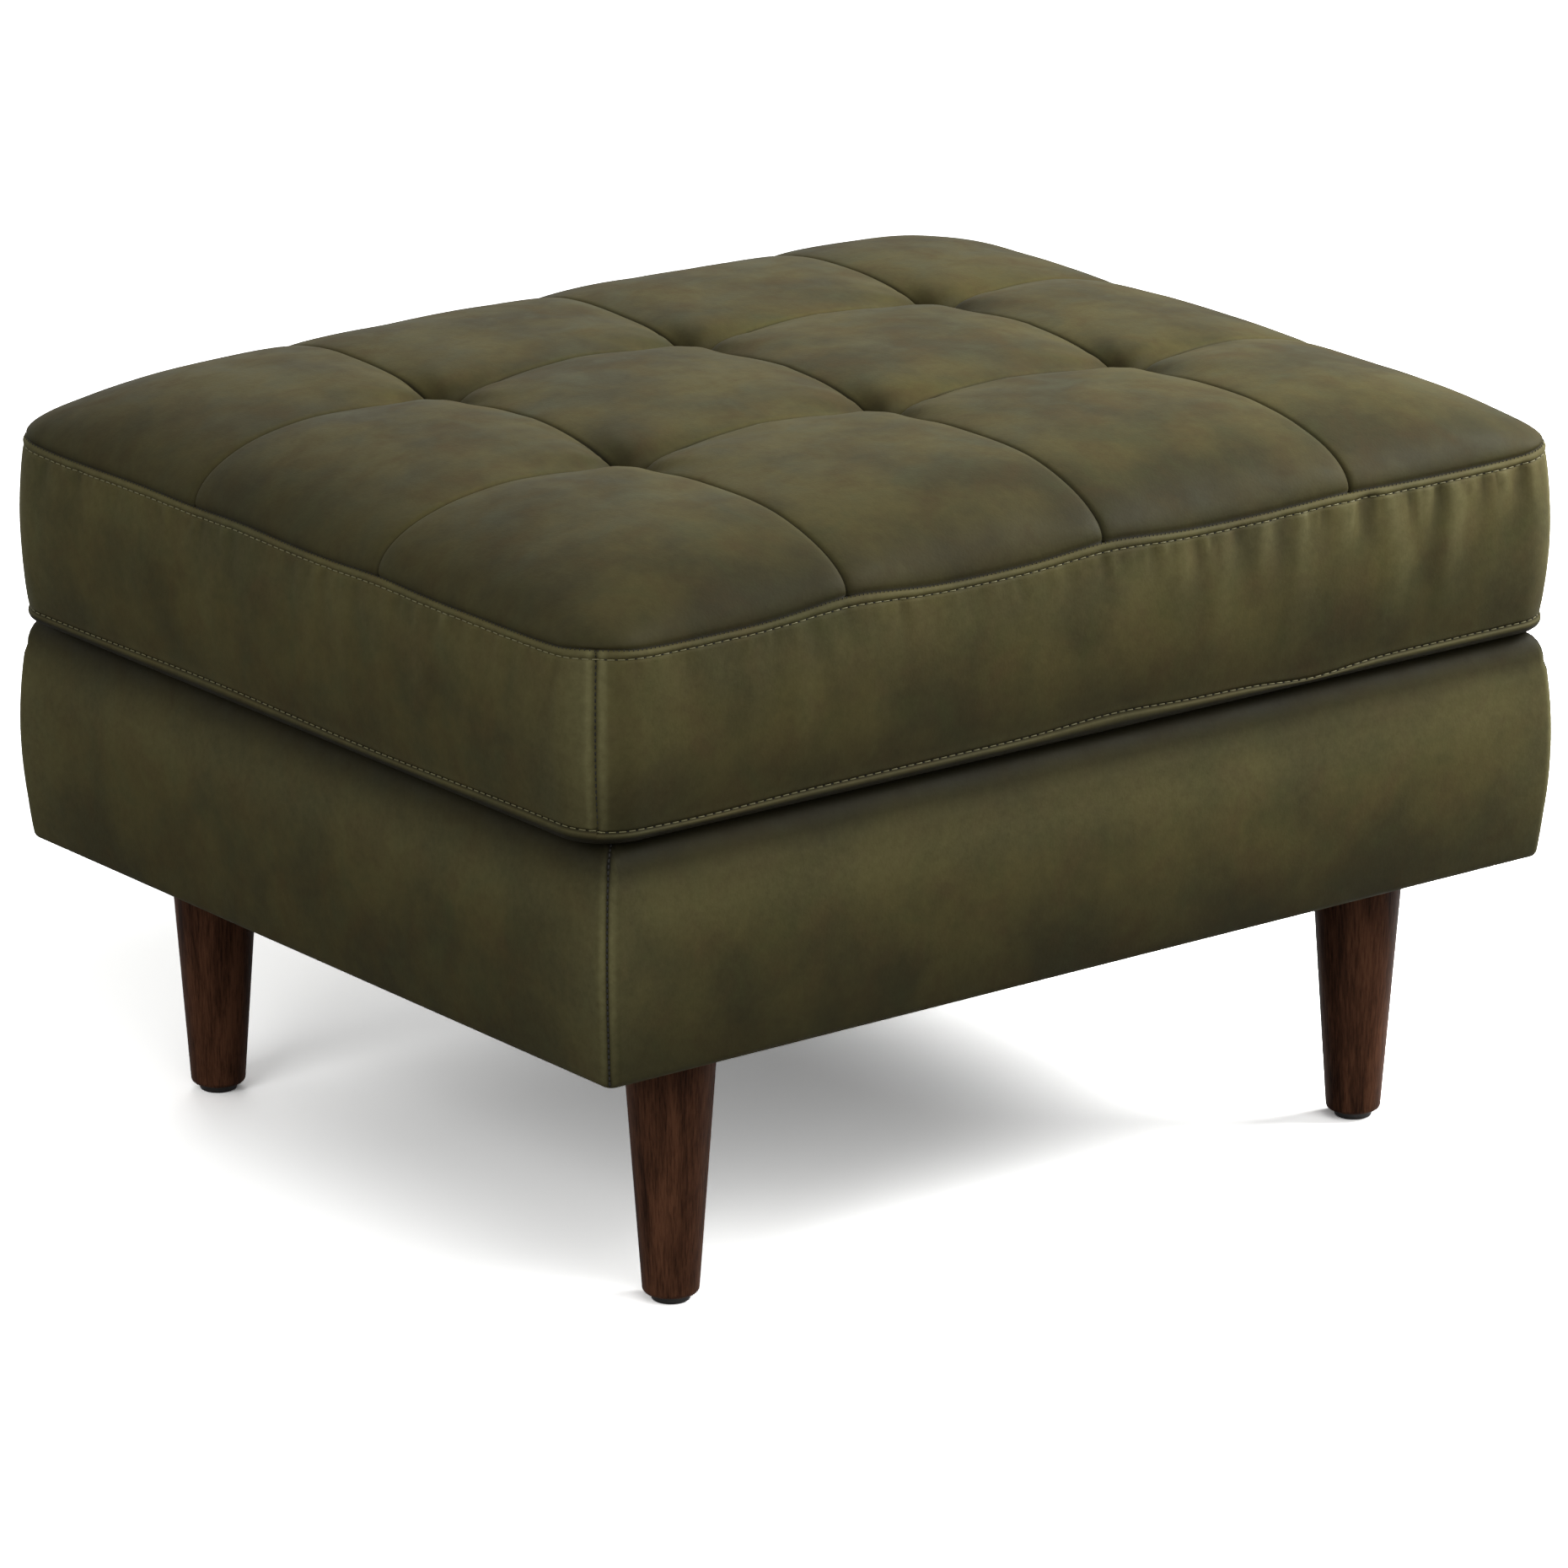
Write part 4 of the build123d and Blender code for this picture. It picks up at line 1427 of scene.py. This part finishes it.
# Legs and glides

foot_radius, top_radius = 16.5, 28.0
glide_radius, glide_height = 11.5, 4.5


def round_rim(obj, height, width, segments):
    """Round the rim of a turned piece at a height."""

    def at_rim(edge):
        return all(abs(v.co.z - height) < 1e-5 for v in edge.verts)

    bevel_edges(obj, width, segments, at_rim)


class OTTOMAN_OT_legs(bpy.types.Operator):
    """Turn the four legs and their glides"""

    bl_idname = "ottoman.legs"
    bl_label = "Legs and glides"

    def execute(self, context):
        for place in ("front_left", "front_right", "back_left", "back_right"):
            low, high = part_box("leg_" + place)
            middle = (low + high) / 2
            deselect()
            bpy.ops.mesh.primitive_cone_add(
                vertices=64,
                radius1=foot_radius * MM,
                radius2=top_radius * MM,
                depth=high.z - low.z,
                location=middle,
            )
            leg = bpy.context.object
            leg.name = "turned_leg_" + place
            settle(leg)
            round_rim(leg, low.z, 3.2, 5)
            round_rim(leg, high.z, 0.8, 2)
            dress(leg, "lacquered_walnut", 40)
            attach(leg, "base")
            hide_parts("leg_" + place)

            low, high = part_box("glide_" + place)
            deselect()
            bpy.ops.mesh.primitive_cylinder_add(
                vertices=48,
                radius=glide_radius * MM,
                depth=glide_height * MM,
                location=(middle.x, middle.y, low.z + glide_height / 2 * MM),
            )
            glide = bpy.context.object
            glide.name = "nylon_glide_" + place
            settle(glide)
            round_rim(glide, low.z, 1.8, 4)
            dress(glide, "moulded_nylon", 40)
            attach(glide, "base")
            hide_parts("glide_" + place)
        return {"FINISHED"}


class OTTOMAN_OT_materials(bpy.types.Operator):
    """Make the materials and dress the parts that stay from the frame"""

    bl_idname = "ottoman.materials"
    bl_label = "Materials"

    def execute(self, context):
        c = colours()
        waxed_leather()
        lacquered_walnut()
        # injection moulded: near black, a dull even shine
        nylon = plain_finish("moulded_nylon", "#14100d", "#1b1612", 0.0012, 0.45)
        # twisted and bonded; the lighter strands are painted highlights
        plain_finish("bonded_nylon_thread", c.thread, c.thread_painted_highlight, 0.0005, 0.5, bump=0.4)
        # painted shade: near-black pieces for the hollows that the needle leaves; the closing,
        # panel-seam and corner stitches take it too
        plain_finish("needle_hole_shade", "#0b0a06", "#14120b", 0.0005, 0.8)
        found = {
            "glide_plastic": nylon,
            "stained_wood": bpy.data.materials["lacquered_walnut"],
            "olive_leather": bpy.data.materials["waxed_pull_up_leather"],
            # pale softwood with grain lines along it
            "frame_wood": plain_finish(
                "planed_spruce", "#b58f5e", "#c9a674", 0.006, 0.65, stretch=(1, 0.08, 1)
            ),
            # open cells, matt; drawn a little coarser than the real ones
            "foam": plain_finish(
                "cut_foam", "#d9cf9e", "#e6ddb4", 0.0016, 0.9, bump=0.5, kind="cells"
            ),
            # white fluff without a shine
            "wadding": plain_finish("bonded_fibre", "#dcdcd6", "#efefea", 0.004, 0.95, bump=0.6),
            # ribbed dark rubber threads
            "webbing": plain_finish(
                "woven_elastic", "#2c2a28", "#4a4643", 0.0018, 0.85, bump=0.4, kind="weave"
            ),
            # thin black cloth; its weave is drawn coarser than the real one, so that it shows
            "black_cloth": plain_finish(
                "spun_cambric", "#111112", "#1c1c1e", 0.0014, 0.9, bump=0.3, kind="weave"
            ),
            # dense dark tape with a fine rib
            "zip_tape": plain_finish(
                "knitted_tape", "#25231a", "#35322a", 0.0009, 0.85, bump=0.3, kind="weave"
            ),
            # tight cord with a waxy shine
            "tie_cord": plain_finish("waxed_cord", "#3b3722", "#524d33", 0.0008, 0.6, bump=0.3),
            # smooth white plastic
            "washer_plastic": plain_finish("moulded_washer", "#d2d2cc", "#dededa", 0.002, 0.5),
            # grey spangled metal
            "zinc_steel": plain_finish(
                "zinc_plate", "#a9a9a4", "#c0c0ba", 0.003, 0.35, metallic=1.0
            ),
            # brown metal, bright where it is handled
            "zip_metal": plain_finish(
                "antique_brass", "#6f5d38", "#8a7547", 0.001, 0.38, metallic=1.0
            ),
        }
        slots = {part["node"]: part["material_slot"] for part in frame["record"]["subparts"]}
        for name, obj in frame["nodes"].items():
            dress_node(obj, found[slots[name]])
        return {"FINISHED"}


def dress_node(obj, material):
    """Give a part of the frame its finish."""
    if not obj.material_slots:
        obj.data.materials.append(material)
    for held in obj.material_slots:
        held.material = material


# The photograph's camera: turn and lift in degrees, what it looks at in millimetres, how many
# metres off it stands, and its lens
camera_angles = (-37.61, 17.58)
camera_target = (-21.2, -28.1, 214.5)
camera_distance = 5.7187
camera_lens = 218.27
# Strength of the world's light on the object; the camera and shiny surfaces see it white
soft_light = 0.2
# Kind, place, power and width of each lamp, all aimed at the cushion
lamps = (
    ("front", "SUN", (-0.3, -1.9, 1.9), 0.72, math.radians(55)),
    ("right", "AREA", (1.2, -0.62, 1.12), 26.0, 0.8),
    ("left", "AREA", (-2.4, -0.7, 1.3), 12.5, 1.4),
    ("back", "AREA", (0.9, 1.9, 2.3), 6.0, 1.4),
)


def seen_rays(tree):
    """Outputs of the light path, and a node that is 1 for what the camera sees."""
    path = add(tree, "ShaderNodeLightPath").outputs
    rays = {0: path["Is Camera Ray"], 1: path["Is Transmission Ray"]}
    return path, add(tree, "ShaderNodeMath", rays, operation="MAXIMUM")


class OTTOMAN_OT_studio(bpy.types.Operator):
    """Set the floor, the lights and the camera"""

    bl_idname = "ottoman.studio"
    bl_label = "Studio"

    def execute(self, context):
        scene = context.scene
        scene.view_settings.view_transform = "Standard"
        turn, lift = (math.radians(angle) for angle in camera_angles)
        flat = math.cos(lift)
        back = Vector((math.sin(turn) * flat, -math.cos(turn) * flat, math.sin(lift)))
        target = Vector(camera_target) * MM
        camera = bpy.data.objects.new("camera", bpy.data.cameras.new("camera"))
        scene.collection.objects.link(camera)
        camera.location = target + back * camera_distance
        camera.rotation_mode = "QUATERNION"
        camera.rotation_quaternion = (-back).to_track_quat("-Z", "Y")
        camera.data.sensor_width = 36
        camera.data.lens = camera_lens
        camera.data.clip_end = 100
        scene.camera = camera

        deselect()
        bpy.ops.mesh.primitive_plane_add(size=30)
        floor = bpy.context.object
        floor.name = "studio_floor"
        material = new_material("matt_paper")
        tree = material.node_tree
        path, shown = seen_rays(tree)
        paper = add(tree, "ShaderNodeBsdfDiffuse", {"Color": colours().floor})
        # the paper is burnt out to white, as a product photographer's is, apart from the object's
        # shadow: it shows four times what it would
        doubled = add(tree, "ShaderNodeAddShader", {0: paper, 1: paper})
        lit = add(tree, "ShaderNodeAddShader", {0: doubled, 1: doubled})
        # the paper throws back less light than it shows, so that the undersides stay dark
        dim = add(tree, "ShaderNodeBsdfDiffuse", {"Color": linear("#555553")})
        thrown = add(tree, "ShaderNodeMixShader", {0: path["Is Glossy Ray"], 1: dim, 2: paper})
        both = add(tree, "ShaderNodeMixShader", {0: shown, 1: thrown, 2: lit})
        finish_material(material, both)
        paint(floor, material)

        world = bpy.data.worlds.new("studio")
        scene.world = world
        world.use_nodes = True
        tree = world.node_tree
        tree.nodes.clear()
        path, shown = seen_rays(tree)
        bright = add(
            tree, "ShaderNodeMath", {0: shown, 1: path["Is Glossy Ray"]}, operation="MAXIMUM"
        )
        soft = add(tree, "ShaderNodeBackground", {"Color": (1, 1, 1, 1), "Strength": soft_light})
        white = add(tree, "ShaderNodeBackground", {"Color": (1, 1, 1, 1), "Strength": 1.0})
        mixed = add(tree, "ShaderNodeMixShader", {0: bright, 1: soft, 2: white})
        add(tree, "ShaderNodeOutputWorld", {"Surface": mixed})

        for name, kind, place, power, width in lamps:
            lamp = bpy.data.lights.new(name, kind)
            lamp.energy = power
            if kind == "SUN":
                lamp.angle = width
            else:
                lamp.size = width
            light = bpy.data.objects.new(name, lamp)
            scene.collection.objects.link(light)
            light.location = place
            light.rotation_mode = "QUATERNION"
            aim = Vector((0, 0, 0.4)) - Vector(place)
            light.rotation_quaternion = aim.to_track_quat("-Z", "Y")
        return {"FINISHED"}


class OTTOMAN_PT_panel(bpy.types.Panel):
    bl_idname = "OTTOMAN_PT_panel"
    bl_label = "Ottoman"
    bl_space_type = "VIEW_3D"
    bl_region_type = "UI"
    bl_category = "Ottoman"

    def draw(self, context):
        layout = self.layout
        for group in (context.scene.ottoman_sizes, context.scene.ottoman_colours):
            box = layout.box()
            for name in group.__annotations__:
                box.prop(group, name)
        for operator in OPERATORS:
            layout.operator(operator.bl_idname)


OPERATORS = (
    OTTOMAN_OT_studio,
    OTTOMAN_OT_materials,
    OTTOMAN_OT_cushion,
    OTTOMAN_OT_wadding,
    OTTOMAN_OT_base,
    OTTOMAN_OT_cloths,
    OTTOMAN_OT_stitches,
    OTTOMAN_OT_zip,
    OTTOMAN_OT_legs,
)
CLASSES = (OttomanColours, OttomanSizes) + OPERATORS + (OTTOMAN_PT_panel,)


def register():
    for cls in CLASSES:
        bpy.utils.register_class(cls)
    bpy.types.Scene.ottoman_colours = PointerProperty(type=OttomanColours)
    bpy.types.Scene.ottoman_sizes = PointerProperty(type=OttomanSizes)


def unregister():
    del bpy.types.Scene.ottoman_sizes
    del bpy.types.Scene.ottoman_colours
    for cls in reversed(CLASSES):
        bpy.utils.unregister_class(cls)


def main():
    register()
    bpy.ops.ottoman.studio()
    bpy.ops.ottoman.materials()
    bpy.ops.ottoman.cushion()
    bpy.ops.ottoman.wadding()
    bpy.ops.ottoman.base()
    bpy.ops.ottoman.cloths()
    bpy.ops.ottoman.stitches()
    bpy.ops.ottoman.zip()
    bpy.ops.ottoman.legs()


if __name__ == "__main__":
    main()
